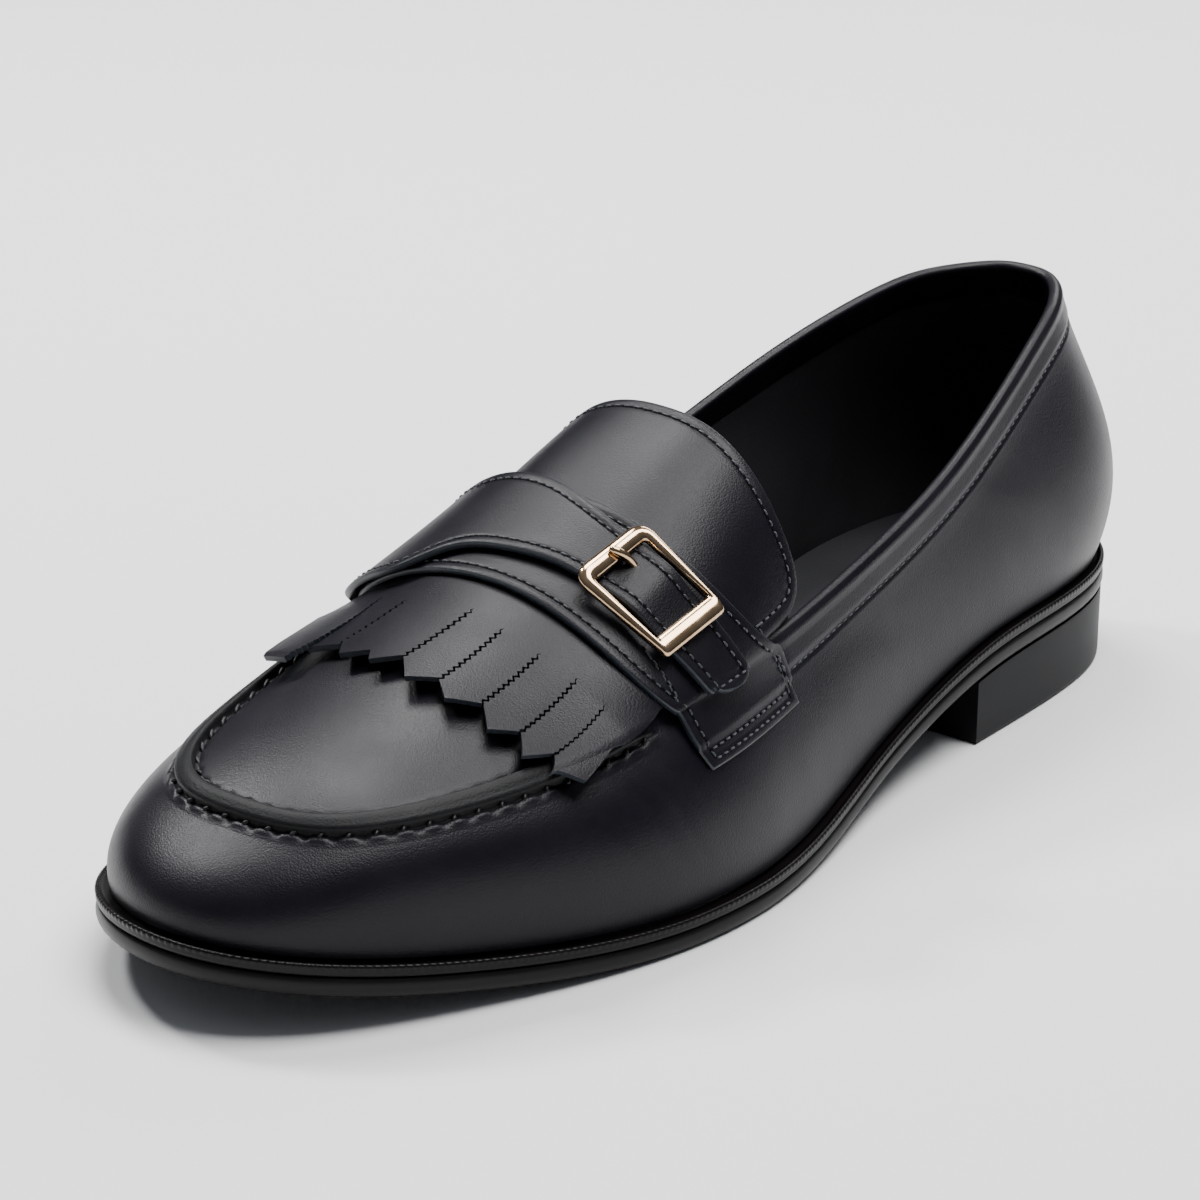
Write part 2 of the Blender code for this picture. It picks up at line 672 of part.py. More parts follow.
def band(rows, steps):
    """Grid of a band given by rows of across, back edge, front edge, on shared fine columns."""
    rows = np.asarray(rows, float)
    first, last = rows[0, 0], rows[-1, 0]
    inner = np.arange(math.ceil(first / ACROSS_STEP), math.floor(last / ACROSS_STEP) + 1) * ACROSS_STEP
    inner = inner[(inner > first + ACROSS_STEP / 4) & (inner < last - ACROSS_STEP / 4)]
    corners = [first, first + ACROSS_STEP / 3, last - ACROSS_STEP / 3, last]
    across = np.unique(np.concatenate([inner, corners]).round(4))
    edges = spline(rows[:, 0], rows[:, 1:], across)
    rows = np.column_stack([across, edges])
    share = np.linspace(0.0, 1.0, steps + 1)
    stations = rows[:, 1:2] + (rows[:, 2:3] - rows[:, 1:2]) * share
    return stations, np.repeat(rows[:, 0:1], steps + 1, axis=1)


def make_tongue(group):
    """Tongue standing out of the throat, arched over the instep."""
    rows = [(across, back, TONGUE_FRONT) for across, back in TONGUE_ROWS]
    stations, across = band(rows, 5)
    return sheet(group, "tongue", "black_calf_leather", stations, across, TONGUE_LIFT[0],
                 TONGUE_LIFT[1] - TONGUE_LIFT[0])


def make_saddle(group):
    """Saddle strap over tongue and fringe, its ends dropped onto the wall."""
    stations, across = band(SADDLE_ROWS, 4)
    drop = fade(np.abs(across), *SADDLE_DROP)
    lift = SADDLE_LIFT[0] + (SADDLE_END_LIFT[0] - SADDLE_LIFT[0]) * drop
    return sheet(group, "saddle", "black_calf_leather", stations, across, lift,
                 SADDLE_LIFT[1] - SADDLE_LIFT[0])


def make_strap(group):
    """Buckle strap, wide at its inner root and narrow through the buckle."""
    stations, across = band(STRAP_ROWS, 3)
    drop = fade(-across, *SADDLE_DROP)
    lift = STRAP_LIFT[0] - (SADDLE_LIFT[0] - SADDLE_END_LIFT[0]) * drop
    return sheet(group, "buckle_strap", "black_calf_leather", stations, across, lift,
                 STRAP_LIFT[1] - STRAP_LIFT[0])


def over_roll(station, across):
    """Extra height that a piece needs where it crosses the rolled apron seam."""
    highest = max(height for _, height in APRON_ROLL)
    return highest * fade(np.abs(across), *ROLL_CROSSING) * fade(station, *ROLL_STARTS)


def make_kiltie(group):
    """Kiltie: a flap fused with its fringe of strips, whose tips lift off the vamp."""
    points, faces = [], []
    rings = 2 * KILTIE_STEPS + 1
    for left, right, tip_left, tip_right, tip, short, rise in KILTIE_STRIPS:
        across_top = np.array([left, (left + right) / 2, right])
        across_tip = np.array([tip_left, (tip_left + tip_right) / 2, tip_right])
        root = np.linspace(KILTIE_ROOT, KILTIE_CUT_TOP, KILTIE_STEPS + 1)
        for station in root:
            lift = KILTIE_LIFT[0] + over_roll(station, across_top)
            points.append(lifted(np.full(3, station), across_top, lift))
        ends = np.array([tip, tip - short * KILTIE_MIDDLE, tip - short])
        for k in range(1, KILTIE_STEPS + 1):
            share = k / KILTIE_STEPS
            inset = KILTIE_CUT * np.array([1.0, 0.0, -1.0])
            across = across_top + (across_tip - across_top) * share + inset
            station = KILTIE_CUT_TOP + (ends - KILTIE_CUT_TOP) * share
            lift = KILTIE_LIFT[0] + rise * share ** 2 + over_roll(station, across)
            points.append(lifted(station, across, lift))
        faces += grid_faces(rings, 3, start=3 * (len(points) - rings))
    item = add_object(group, "kiltie", np.concatenate(points), faces, "black_calf_leather")
    return thicken(item, KILTIE_LIFT[1] - KILTIE_LIFT[0], 1.0)


def buckle_ring():
    """Middle line of the buckle frame with round corners, and the bar's width at each point."""
    corners = np.array([lifted(np.array([s]), np.array([a]), BUCKLE_LIFT)[0] for a, s in BUCKLE_CORNERS])
    widths = (BUCKLE_BARS[0], BUCKLE_BARS[1], BUCKLE_BARS[2], BUCKLE_BARS[1])
    line, bars = [], []
    for i in range(4):
        before, here, after = corners[i - 1], corners[i], corners[(i + 1) % 4]
        start = here + (before - here) / np.linalg.norm(before - here) * BUCKLE_ROUND
        end = here + (after - here) / np.linalg.norm(after - here) * BUCKLE_ROUND
        for t in (0.0, 0.25, 0.5, 0.75, 1.0):
            line.append(start * (1 - t) ** 2 + here * 2 * t * (1 - t) + end * t ** 2)
            bars.append(widths[i - 1] * (1 - t) + widths[i] * t)
        line.append((end + corners[(i + 1) % 4]) / 2)
        bars.append(widths[i])
    return np.array(line), np.array(bars)


def make_buckle_frame(group):
    """Cast frame buckle: an oval bar swept round a rounded trapezoid."""
    line, bars = buckle_ring()
    count = len(line)
    centre = line.mean(axis=0)
    along = np.roll(line, -1, axis=0) - np.roll(line, 1, axis=0)
    along /= np.linalg.norm(along, axis=1)[:, None]
    flat = np.linalg.svd(line - centre)[2][2]
    flat *= np.sign(flat[2])
    side = np.cross(flat, along)
    points = []
    for turn in np.arange(BUCKLE_SIDES) * 2 * np.pi / BUCKLE_SIDES:
        level = flat * (math.sin(turn) + 1.0) * BUCKLE_THICK / 2
        points.append(line + side * math.cos(turn) * bars[:, None] / 2 + level)
    points = np.concatenate(points)
    faces = []
    for ring in range(BUCKLE_SIDES):
        for i in range(count):
            j = (i + 1) % count
            k = (ring + 1) % BUCKLE_SIDES
            faces.append((ring * count + i, ring * count + j, k * count + j, k * count + i))
    return add_object(group, "buckle_frame", points, faces, "champagne_plated_metal")


def make_buckle_prong(group):
    """Prong lying over the strap-side bar, a curve with a round section and filled caps."""
    start, end = PRONG_ACROSS
    station = np.full(4, PRONG_STATION)
    across = np.array([start - PRONG_REST, start + PRONG_REST, (start + end) / 2, end])
    top = BUCKLE_LIFT + BUCKLE_THICK + PRONG_RADIUS + PRONG_CLEAR
    low = STRAP_LIFT[1] + PRONG_RADIUS + PRONG_CLEAR
    route = lifted(station, across, np.array([top, top, (top + low) / 2 + PRONG_BEND, low]))
    curve = bpy.data.curves.new("buckle_prong", "CURVE")
    curve.dimensions = "3D"
    path = curve.splines.new("POLY")
    path.points.add(len(route) - 1)
    for point, place in zip(path.points, to_world(route)):
        point.co = (*place, 1.0)
    curve.bevel_depth = PRONG_RADIUS * MM
    curve.bevel_resolution = 2
    curve.use_fill_caps = True
    curve.materials.append(finish("champagne_plated_metal"))
    item = bpy.data.objects.new("buckle_prong", curve)
    group.objects.link(item)
    return item


group = clear_scene()
make_outsole(group)
make_welt(group)
make_heel_block(group)
make_insole(group)
make_upper(group)
make_tongue(group)
make_kiltie(group)
make_saddle(group)
make_strap(group)
make_buckle_frame(group)
make_buckle_prong(group)
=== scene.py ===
"""Looks of the kiltie loafer, left shoe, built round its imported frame.

Shoe places are (station, x, height) in millimetres: the station runs from the back
of the heel to the toe, x is positive to the outer side, and the floor is 0.
"""
import math

import bmesh
import bpy
import numpy as np
from mathutils import Matrix, Vector


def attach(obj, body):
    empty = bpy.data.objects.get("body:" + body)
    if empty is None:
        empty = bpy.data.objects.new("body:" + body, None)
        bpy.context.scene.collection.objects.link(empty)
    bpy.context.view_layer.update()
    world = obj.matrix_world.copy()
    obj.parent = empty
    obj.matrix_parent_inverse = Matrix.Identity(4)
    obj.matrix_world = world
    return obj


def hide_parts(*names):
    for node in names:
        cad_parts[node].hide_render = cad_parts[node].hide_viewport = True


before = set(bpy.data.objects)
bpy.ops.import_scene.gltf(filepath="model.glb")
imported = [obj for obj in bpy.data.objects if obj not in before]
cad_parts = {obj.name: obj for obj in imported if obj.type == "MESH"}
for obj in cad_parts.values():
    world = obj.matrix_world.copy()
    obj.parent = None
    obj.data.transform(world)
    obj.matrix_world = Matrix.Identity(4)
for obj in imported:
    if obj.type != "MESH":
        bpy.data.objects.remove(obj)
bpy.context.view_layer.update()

# Sole. The outsole is black-dyed leather cut to the last's outline, the welt is a black
# strip sewn round it whose ridge is run over with a notched wheel, and the heel is a
# stack of leather lifts, ground flush and dyed black. All three are burnished with wax.
MM = 0.001
SHOE_LENGTH = 300.0
ORIGIN_STATION = 149.05
ORIGIN_X = 0.55
HEEL_LIFT = 16.5
TOE_SPRING = 11.5
FLAT_FROM = 184.0
FLAT_TO = 207.0
TOE_CURVE = 1.8
BREAST_STATION = 84.5
GAP = 0.3
UPPER_WALL = 1.9
OUTSOLE_EDGE = 4.2
TOE_X = -3.0

# Rise of the outsole's underside, as a share of HEEL_LIFT, at each station
HEEL_RISE = [(0.0, 1.06), (45.0, 1.02), (80.0, 0.93), (106.0, 0.64), (136.0, 0.27), (164.0, 0.05),
             (184.0, 0.0)]
# Station and the height of outsole and welt together, then how far the welt stands out
EDGE_HEIGHT = [(0.0, 7.3), (70.0, 7.3), (115.0, 6.8), (160.0, 7.0), (300.0, 7.0)]
LEDGE_WIDTH = [(0.0, 2.0), (20.0, 2.2), (120.0, 2.4), (170.0, 3.0), (300.0, 3.0)]

# Sections of the shoe, heel to toe: station, lateral x and medial x of the sole's edge
SOLE_SECTIONS = [
    (7.0, 17.0, -17.5),
    (20.0, 27.2, -27.0),
    (40.0, 32.9, -31.0),
    (64.0, 35.4, -30.6),
    (92.0, 37.3, -27.2),
    (122.0, 40.8, -25.6),
    (152.0, 48.0, -31.0),
    (180.0, 54.0, -42.0),
    (206.0, 54.3, -50.3),
    (232.0, 48.8, -53.8),
    (256.0, 40.0, -50.0),
    (276.0, 30.6, -41.0),
    (290.0, 20.3, -29.0),
    (298.0, 8.5, -14.5),
]
# Top edge of the upper's wall at each section: station, x, height, and how far the wall
# leans out at the sole and in at its top, in degrees
LATERAL_TOP = [
    (17.8, 8.4, 87.8, 24.0, 18.0),
    (27.0, 15.6, 86.2, 20.0, 16.0),
    (42.0, 20.8, 81.6, 14.0, 14.0),
    (66.0, 25.8, 71.8, 8.0, 12.0),
    (93.0, 30.0, 61.6, 5.0, 9.0),
    (122.0, 32.8, 53.8, 4.0, 8.0),
    (152.0, 35.2, 47.8, 5.0, 14.0),
    (178.0, 38.2, 45.0, 8.0, 29.0),
    (203.0, 39.6, 41.6, 9.0, 48.0),
    (228.0, 37.4, 38.6, 9.0, 55.0),
    (249.0, 31.8, 37.0, 9.0, 58.0),
    (265.0, 24.8, 36.4, 8.0, 60.0),
    (274.0, 16.6, 36.0, 10.0, 60.0),
    (278.0, 7.0, 36.0, 11.0, 60.0),
]
MEDIAL_TOP = [
    (17.8, -8.6, 88.2, 24.0, 18.0),
    (27.0, -15.8, 87.6, 18.0, 15.0),
    (42.0, -21.2, 85.8, 10.0, 13.0),
    (66.0, -27.6, 78.6, 2.0, 10.0),
    (93.0, -31.6, 69.6, -6.0, 8.0),
    (122.0, -33.6, 60.6, -12.0, 8.0),
    (152.0, -36.4, 52.0, -8.0, 14.0),
    (178.0, -38.6, 48.0, 4.0, 29.0),
    (203.0, -39.8, 45.0, 8.0, 48.0),
    (228.0, -37.4, 42.0, 8.0, 53.0),
    (248.0, -34.4, 39.0, 10.0, 56.0),
    (263.0, -30.0, 37.0, 13.0, 56.0),
    (273.0, -22.4, 36.2, 14.0, 58.0),
    (278.0, -12.0, 36.0, 14.0, 58.0),
]
HEEL_BACK_TOP = (15.6, 0.0, 88.4, 26.0, 20.0)
TOE_TOP = (278.8, -2.6, 36.0, 13.0, 60.0)

WHEEL_PITCH = 1.6
WHEEL_DEPTH = 0.22
SOLE_COLUMNS = 64
JOINED_BELOW = 0.012


def linear(code):
    """sRGB hex colour as linear red, green, blue and alpha."""
    parts = [int(code[i:i + 2], 16) / 255 for i in (1, 3, 5)]
    return tuple(p / 12.92 if p <= 0.04045 else ((p + 0.055) / 1.055) ** 2.4 for p in parts) + (1.0,)


def new_material(name, colour, roughness, **settings):
    """A material, its nodes, its shader and the place on the object; sockets are given by their names."""
    made = bpy.data.materials.new(name)
    made.use_nodes = True
    shader = made.node_tree.nodes["Principled BSDF"]
    shader.inputs["Base Color"].default_value = linear(colour)
    shader.inputs["Roughness"].default_value = roughness
    for socket, value in settings.items():
        shader.inputs[socket.replace("_", " ")].default_value = value
    place = add(made.node_tree, "ShaderNodeTexCoord").outputs["Object"]
    return made, made.node_tree, shader, place


def add(tree, kind, settings=None, links=None, values=None):
    """One node with its settings, its input values and the links into it."""
    node = tree.nodes.new(kind)
    for key, value in (settings or {}).items():
        setattr(node, key, value)
    for key, value in (values or {}).items():
        node.inputs[key].default_value = value
    for key, socket in (links or {}).items():
        tree.links.new(socket, node.inputs[key])
    return node


def dress(tree, shader, relief, strength, depth_mm, tone=None, tones=None, polish=None):
    """Join patterns to a shader: relief as bump, tone as a drift of its colour and its roughness."""
    if tones:
        colours = add(tree, "ShaderNodeMix", {"data_type": "RGBA"}, {0: tone.outputs[0]},
                      {6: linear(tones[0]), 7: linear(tones[1])})
        tree.links.new(colours.outputs[2], shader.inputs["Base Color"])
    if polish:
        rub = add(tree, "ShaderNodeMapRange", links={"Value": tone.outputs[0]},
                  values={"To Min": polish[0], "To Max": polish[1]})
        tree.links.new(rub.outputs[0], shader.inputs["Roughness"])
    bump = add(tree, "ShaderNodeBump", links={"Height": relief},
               values={"Strength": strength, "Distance": depth_mm * MM})
    tree.links.new(bump.outputs[0], shader.inputs["Normal"])


def spline(knots, values, at, closed=False):
    """Natural cubic spline through a table's rows; a closed one repeats its first row last."""
    knots = np.asarray(knots, float)
    values = np.asarray(values, float)
    at = np.asarray(at, float)
    count = len(knots)
    width = np.diff(knots)
    extra = (1,) * (values.ndim - 1)
    slope = np.diff(values, axis=0) / width.reshape((-1,) + extra)
    matrix = np.zeros((count, count))
    right = np.zeros_like(values)
    for i in range(1, count - 1):
        matrix[i, i - 1:i + 2] = width[i - 1], 2 * (width[i - 1] + width[i]), width[i]
        right[i] = 6 * (slope[i] - slope[i - 1])
    if closed:
        matrix[0, 0], matrix[0, -1] = 1, -1
        matrix[-1, [0, 1, -2, -1]] = 2 * width[0], width[0], width[-1], 2 * width[-1]
        right[-1] = 6 * (slope[0] - slope[-1])
    else:
        matrix[0, 0] = matrix[-1, -1] = 1
    bend = np.linalg.solve(matrix, right)
    i = np.clip(np.searchsorted(knots, at) - 1, 0, count - 2)
    span = width[i].reshape((-1,) + extra)
    near = (knots[i + 1] - at).reshape((-1,) + extra) / span
    far = 1 - near
    curve = (near ** 3 - near) * bend[i] + (far ** 3 - far) * bend[i + 1]
    return near * values[i] + far * values[i + 1] + curve * span ** 2 / 6


def unit(vectors):
    return vectors / np.linalg.norm(vectors, axis=-1, keepdims=True)


def run_along(points):
    """Distance along a line of points from its first one."""
    return np.concatenate([[0.0], np.cumsum(np.linalg.norm(np.diff(points, axis=0), axis=1))])


def table(rows, at):
    rows = np.asarray(rows, float)
    return np.interp(at, rows[:, 0], rows[:, 1])


def section_table():
    """All sections in one closed loop: heel back, lateral side, toe, medial side."""
    pairs = list(zip(SOLE_SECTIONS, LATERAL_TOP, MEDIAL_TOP))
    rows = [(0.0, 0.0) + HEEL_BACK_TOP]
    rows += [(sole[0], sole[1]) + lateral for sole, lateral, _ in pairs]
    rows += [(SHOE_LENGTH, TOE_X) + TOE_TOP]
    rows += [(sole[0], sole[2]) + medial for sole, _, medial in reversed(pairs)]
    rows += [rows[0]]
    rows = np.array(rows)
    steps = np.hypot(*np.diff(rows[:, :2], axis=0).T)
    return np.concatenate([[0.0], np.cumsum(steps)]) / steps.sum(), rows


KNOTS, SECTIONS = section_table()
SECTION_NUMBERS = np.arange(len(KNOTS))
TOE_NUMBER = len(SOLE_SECTIONS) + 1
LOOP = 2 * TOE_NUMBER


def around(number):
    """Every column at a section number: 0 heel back, TOE_NUMBER toe, LOOP heel back again."""
    place = np.interp(np.mod(number, LOOP), SECTION_NUMBERS, KNOTS)
    return spline(KNOTS, SECTIONS, place, closed=True)


def outward(number):
    """Level direction out of the sole's edge, as (station, x)."""
    step = 0.01
    along = around(number + step)[:, :2] - around(number - step)[:, :2]
    return unit(np.stack([-along[:, 1], along[:, 0]], 1))


def sole_bottom(station):
    """Height of the outsole's underside: heel seat, arch, flat tread and toe spring."""
    station = np.asarray(station, float)
    rise = np.asarray(HEEL_RISE)
    back = spline(rise[:, 0], rise[:, 1], np.clip(station, 0.0, FLAT_FROM))
    front = np.clip((station - FLAT_TO) / (SHOE_LENGTH - FLAT_TO), 0.0, None) ** TOE_CURVE
    return np.where(station < FLAT_FROM, HEEL_LIFT * np.maximum(back, 0.0), TOE_SPRING * front)


def seat(station):
    return sole_bottom(station) + table(EDGE_HEIGHT, station)


def edge_point(number, inset):
    return around(number)[:, :2] - outward(number) * np.reshape(inset, (-1, 1))


def to_world(points):
    points = np.asarray(points, float).reshape(-1, 3)
    return np.stack([points[:, 1] - ORIGIN_X, ORIGIN_STATION - points[:, 0], points[:, 2]], 1) * MM


def grid_faces(rows, columns, start=0, closed=False):
    """Quads of a grid of points stored row by row; closed joins the last row to the first."""
    row, column = np.meshgrid(np.arange(rows if closed else rows - 1), np.arange(columns - 1),
                              indexing="ij")
    a = start + row * columns + column
    b = start + (row + 1) % rows * columns + column
    return np.stack([a, b, b + 1, a + 1], -1).reshape(-1, 4).tolist()


def ring_faces(rings, count, start=0, closed=False):
    """Quads between rings of points stored one after another; closed joins the last ring to the first."""
    i = np.arange(count)
    j = (i + 1) % count
    ring = np.arange(rings if closed else rings - 1)[:, None]
    low, high = start + ring * count, start + (ring + 1) % rings * count
    return np.stack([low + i, low + j, high + j, high + i], -1).reshape(-1, 4).tolist()


def make_piece(name, points, faces, materials, face_slots=None, sharp=40.0, stands_for=()):
    """A mesh piece of the shoe from millimetre points, put on the frame's one body."""
    mesh = bpy.data.meshes.new(name)
    mesh.from_pydata(to_world(points).tolist(), [], [tuple(face) for face in faces])
    for material in materials:
        mesh.materials.append(material)
    if face_slots is not None:
        mesh.polygons.foreach_set("material_index", np.asarray(face_slots, np.int32))
    work = bmesh.new()
    work.from_mesh(mesh)
    bmesh.ops.remove_doubles(work, verts=work.verts, dist=JOINED_BELOW * MM)
    bmesh.ops.recalc_face_normals(work, faces=work.faces)
    work.to_mesh(mesh)
    work.free()
    mesh.shade_smooth()
    mesh.set_sharp_from_angle(angle=math.radians(sharp))
    item = bpy.data.objects.new(name, mesh)
    bpy.context.scene.collection.objects.link(item)
    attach(item, "root")
    if stands_for:
        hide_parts(*stands_for)
    return item


def slab(number, rings):
    """Points and faces of a layer of the sole from its rings of (plan, height), capped across."""
    count = len(number)
    points = np.concatenate([np.column_stack(ring) for ring in rings])
    faces = ring_faces(len(rings), count)
    for start in (0, (len(rings) - 1) * count):
        for k in range(count // 2):
            face = dict.fromkeys([start + k, start + k + 1, start + (count - k - 1) % count,
                                  start + (count - k) % count])
            if len(face) > 2:
                faces.append(tuple(face))
    return points, faces


def rounded(profile, count):
    """A short profile table drawn finer, as a smooth line through its rows."""
    profile = np.asarray(profile, float)
    return spline(np.linspace(0.0, 1.0, len(profile)), profile, np.linspace(0.0, 1.0, count))


# Wax-burnished black sole edge: dark brown-black, satin, with fine grinding lines
sole_edge, tree, shader, place = new_material("black_burnished_sole_edge", "#0c0b0b", 0.42,
                                              Coat_Weight=0.06, Coat_Roughness=0.3,
                                              Specular_IOR_Level=0.16)
stretch = add(tree, "ShaderNodeMapping", links={"Vector": place},
              values={"Scale": (0.06, 0.06, 1.0)})
GRINDING_MM = 0.35
lines = add(tree, "ShaderNodeTexNoise", links={"Vector": stretch.outputs[0]},
            values={"Scale": 1 / (GRINDING_MM * MM), "Detail": 3.0})
tone = add(tree, "ShaderNodeTexNoise", links={"Vector": place},
           values={"Scale": 1 / (14 * MM), "Detail": 4.0})
dress(tree, shader, lines.outputs[0], 0.35, 0.06, tone, ("#080707", "#110e0e"), (0.34, 0.5))

# Black wax-dressed welt, glossier than the sole edge, with a brown cast where it is worn
welt_black, tree, shader, place = new_material("black_waxed_welt", "#080607", 0.36, Coat_Weight=0.05,
                                               Coat_Roughness=0.22, Specular_IOR_Level=0.14)
tone = add(tree, "ShaderNodeTexNoise", links={"Vector": place},
           values={"Scale": 1 / (9 * MM), "Detail": 4.0})
fibre = add(tree, "ShaderNodeTexNoise", links={"Vector": place},
            values={"Scale": 1 / (0.5 * MM), "Detail": 3.0})
dress(tree, shader, fibre.outputs[0], 0.25, 0.08, tone, ("#060506", "#100b0b"))

# Dyed heel lifts: matt black with the faint level lines of the stacked layers
heel_black, tree, shader, place = new_material("black_dyed_heel_stack", "#08080a", 0.5, Coat_Weight=0.02,
                                               Coat_Roughness=0.45, Specular_IOR_Level=0.12)
flat = add(tree, "ShaderNodeMapping", links={"Vector": place},
           values={"Scale": (0.04, 0.04, 1.0)})
layers = add(tree, "ShaderNodeTexNoise", links={"Vector": flat.outputs[0]},
             values={"Scale": 1 / (0.8 * MM), "Detail": 2.0})
speck = add(tree, "ShaderNodeTexNoise", links={"Vector": place},
            values={"Scale": 1 / (0.45 * MM), "Detail": 3.0})
both = add(tree, "ShaderNodeMath", {"operation": "ADD"}, {0: layers.outputs[0], 1: speck.outputs[0]})
dress(tree, shader, both.outputs[0], 0.3, 0.06, speck, ("#060709", "#0e0f13"))

number = np.arange(0.0, LOOP, 1.0 / SOLE_COLUMNS)
round_sole = run_along(around(number)[:, :2])

OUTSOLE_PROFILE = [(1.6, 0.0), (0.7, 0.12), (0.1, 0.45), (0.3, 0.85), (0.8, 1.0)]
rings = []
for inset, share in rounded(OUTSOLE_PROFILE, 11):
    ring = edge_point(number, inset)
    rings.append((ring, sole_bottom(ring[:, 0]) + OUTSOLE_EDGE * share))
points, faces = slab(number, rings)
make_piece("leather_outsole", points, faces, [sole_edge],
           stands_for=["outsole"])

# Rows of the welt's edge: inset, share of the way from the outsole to the ridge's top,
# and how much of the wheel's notch shows there
WELT_PROFILE = [(1.0, 0.0, 0.0), (0.45, 0.08, 0.0), (0.15, 0.3, 0.0), (0.25, 0.45, 0.0),
                (0.1, 0.6, 0.3), (0.0, 0.78, 1.0), (0.2, 0.93, 1.0), (0.65, 1.0, 1.0),
                (1.05, 0.93, 0.6), (1.3, 0.8, 0.0), (1.9, 0.76, 0.0), (4.5, 0.76, 0.0)]
notch = 0.5 - 0.5 * np.cos(2 * np.pi * round_sole / WHEEL_PITCH)
rings = []
for inset, share, wheel in WELT_PROFILE:
    ring = edge_point(number, inset + WHEEL_DEPTH * wheel * notch)
    foot = sole_bottom(ring[:, 0]) + OUTSOLE_EDGE + GAP / 3
    rings.append((ring, foot + (seat(ring[:, 0]) - foot) * share))
points, faces = slab(number, rings)
make_piece("wheeled_welt", points, faces, [welt_black], sharp=60.0, stands_for=["welt"])

HEEL_INSET = 0.4
# Round foot of the heel's edge: inset and height over the floor; then the shares of the rest
# of its height that have a row, and its inset at the seat
HEEL_FOOT = [(1.0, 0.0), (0.35, 0.2), (0.05, 0.7), (0.0, 1.4)]
HEEL_SHARES = (0.5, 0.96)
HEEL_SEAT_INSET = 0.15
HEEL_MIDDLE_X = 2.0
heel_edge = edge_point(number, HEEL_INSET)
inside = heel_edge[:, 0] < BREAST_STATION
half = len(number) // 2
lateral, medial = heel_edge[:half], heel_edge[half:]
corners = [(BREAST_STATION, np.interp(BREAST_STATION, side[:, 0], side[:, 1]))
           for side in (lateral, medial[::-1])]
outline = np.concatenate([medial[inside[half:]], lateral[inside[:half]], corners])
toward = unit(np.array([BREAST_STATION / 2, HEEL_MIDDLE_X]) - outline)
top = sole_bottom(outline[:, 0]) - GAP / 3
levels = [(outline + toward * inset, np.full(len(outline), height)) for inset, height in HEEL_FOOT]
round_top = HEEL_FOOT[-1][1]
levels += [(outline, round_top + (top - round_top) * share) for share in HEEL_SHARES]
levels += [(outline + toward * HEEL_SEAT_INSET, top)]
count = len(outline)
points = np.concatenate([np.column_stack(level) for level in levels])
faces = ring_faces(len(levels), count)
for start in (0, (len(levels) - 1) * count):
    faces.append([start + k for k in range(count)])
make_piece("stacked_heel", points, faces, [heel_black], sharp=35.0, stands_for=["heel_block"])

# Insole. A thin sock of black lining leather is glued over the insole board inside the
# shoe. The photograph hides it, so it is finished plainly.
lining_black, tree, shader, place = new_material("black_lining_leather", "#1b1b1e", 0.62,
                                                 Specular_IOR_Level=0.35)
pore = add(tree, "ShaderNodeTexVoronoi", links={"Vector": place},
           values={"Scale": 1 / (0.9 * MM)})
tone = add(tree, "ShaderNodeTexNoise", links={"Vector": place},
           values={"Scale": 1 / (18 * MM), "Detail": 4.0})
dress(tree, shader, pore.outputs["Distance"], 0.3, 0.1, tone, ("#151517", "#242428"))
INSOLE_INSET = 3.4
INSOLE_THICK = 2.2
INSOLE_COLUMNS = 12
# Inset and share of the thickness of each row of its edge
INSOLE_EDGE = [(0.0, 0.1), (0.0, 0.75), (0.25, 0.94), (0.9, 1.0)]
number = np.arange(0.0, LOOP, 1.0 / INSOLE_COLUMNS)
inset = table(LEDGE_WIDTH, around(number)[:, 0]) + INSOLE_INSET
rings = []
for extra, share in INSOLE_EDGE:
    ring = edge_point(number, inset + extra)
    rings.append((ring, seat(ring[:, 0]) + GAP + INSOLE_THICK * share))
points, faces = slab(number, rings)
make_piece("insole_sock", points, faces, [lining_black],
           stands_for=["insole"])

# Upper. One smooth black box calf body, lasted wet and dried on the last. A folded band
# is topstitched round the collar, and the apron is gathered into the toe wall by hand
# with waxed thread, which lifts a ridge along the seam.
FOOT_HANDLE = 0.42
TOP_HANDLE = 0.36
# Crown line of the vamp: station, height, and the two powers that round the section there
CROWN = [
    (130.0, 92.0, 2.6, 0.5),
    (150.0, 85.0, 2.6, 0.5),
    (165.0, 79.0, 2.5, 0.54),
    (180.0, 72.0, 2.3, 0.58),
    (200.0, 63.5, 2.1, 0.68),
    (220.0, 56.0, 2.0, 0.8),
    (240.0, 49.0, 2.0, 0.86),
    (255.0, 44.8, 2.0, 0.9),
    (268.0, 40.6, 2.0, 0.93),
    (278.8, 36.0, 2.0, 0.95),
]
VAMP_SHOULDER = 0.9
BAND_ENDS = (158.0, 166.0)
ROLL_STARTS = (204.0, 211.0)
THROAT_SECTION = 7.5
UPPER_COLUMNS = 24
# Distance from the top edge down the wall, and the height of the folded collar band there
COLLAR_BAND = [(0.0, 0.45), (0.5, 0.72), (1.2, 0.78), (2.0, 0.62), (2.8, 0.5), (4.5, 0.5), (6.2, 0.48),
               (6.8, 0.26), (7.2, -0.08), (7.6, -0.2), (8.0, -0.04), (8.5, 0.1), (9.5, 0.05), (12.0, 0.0)]
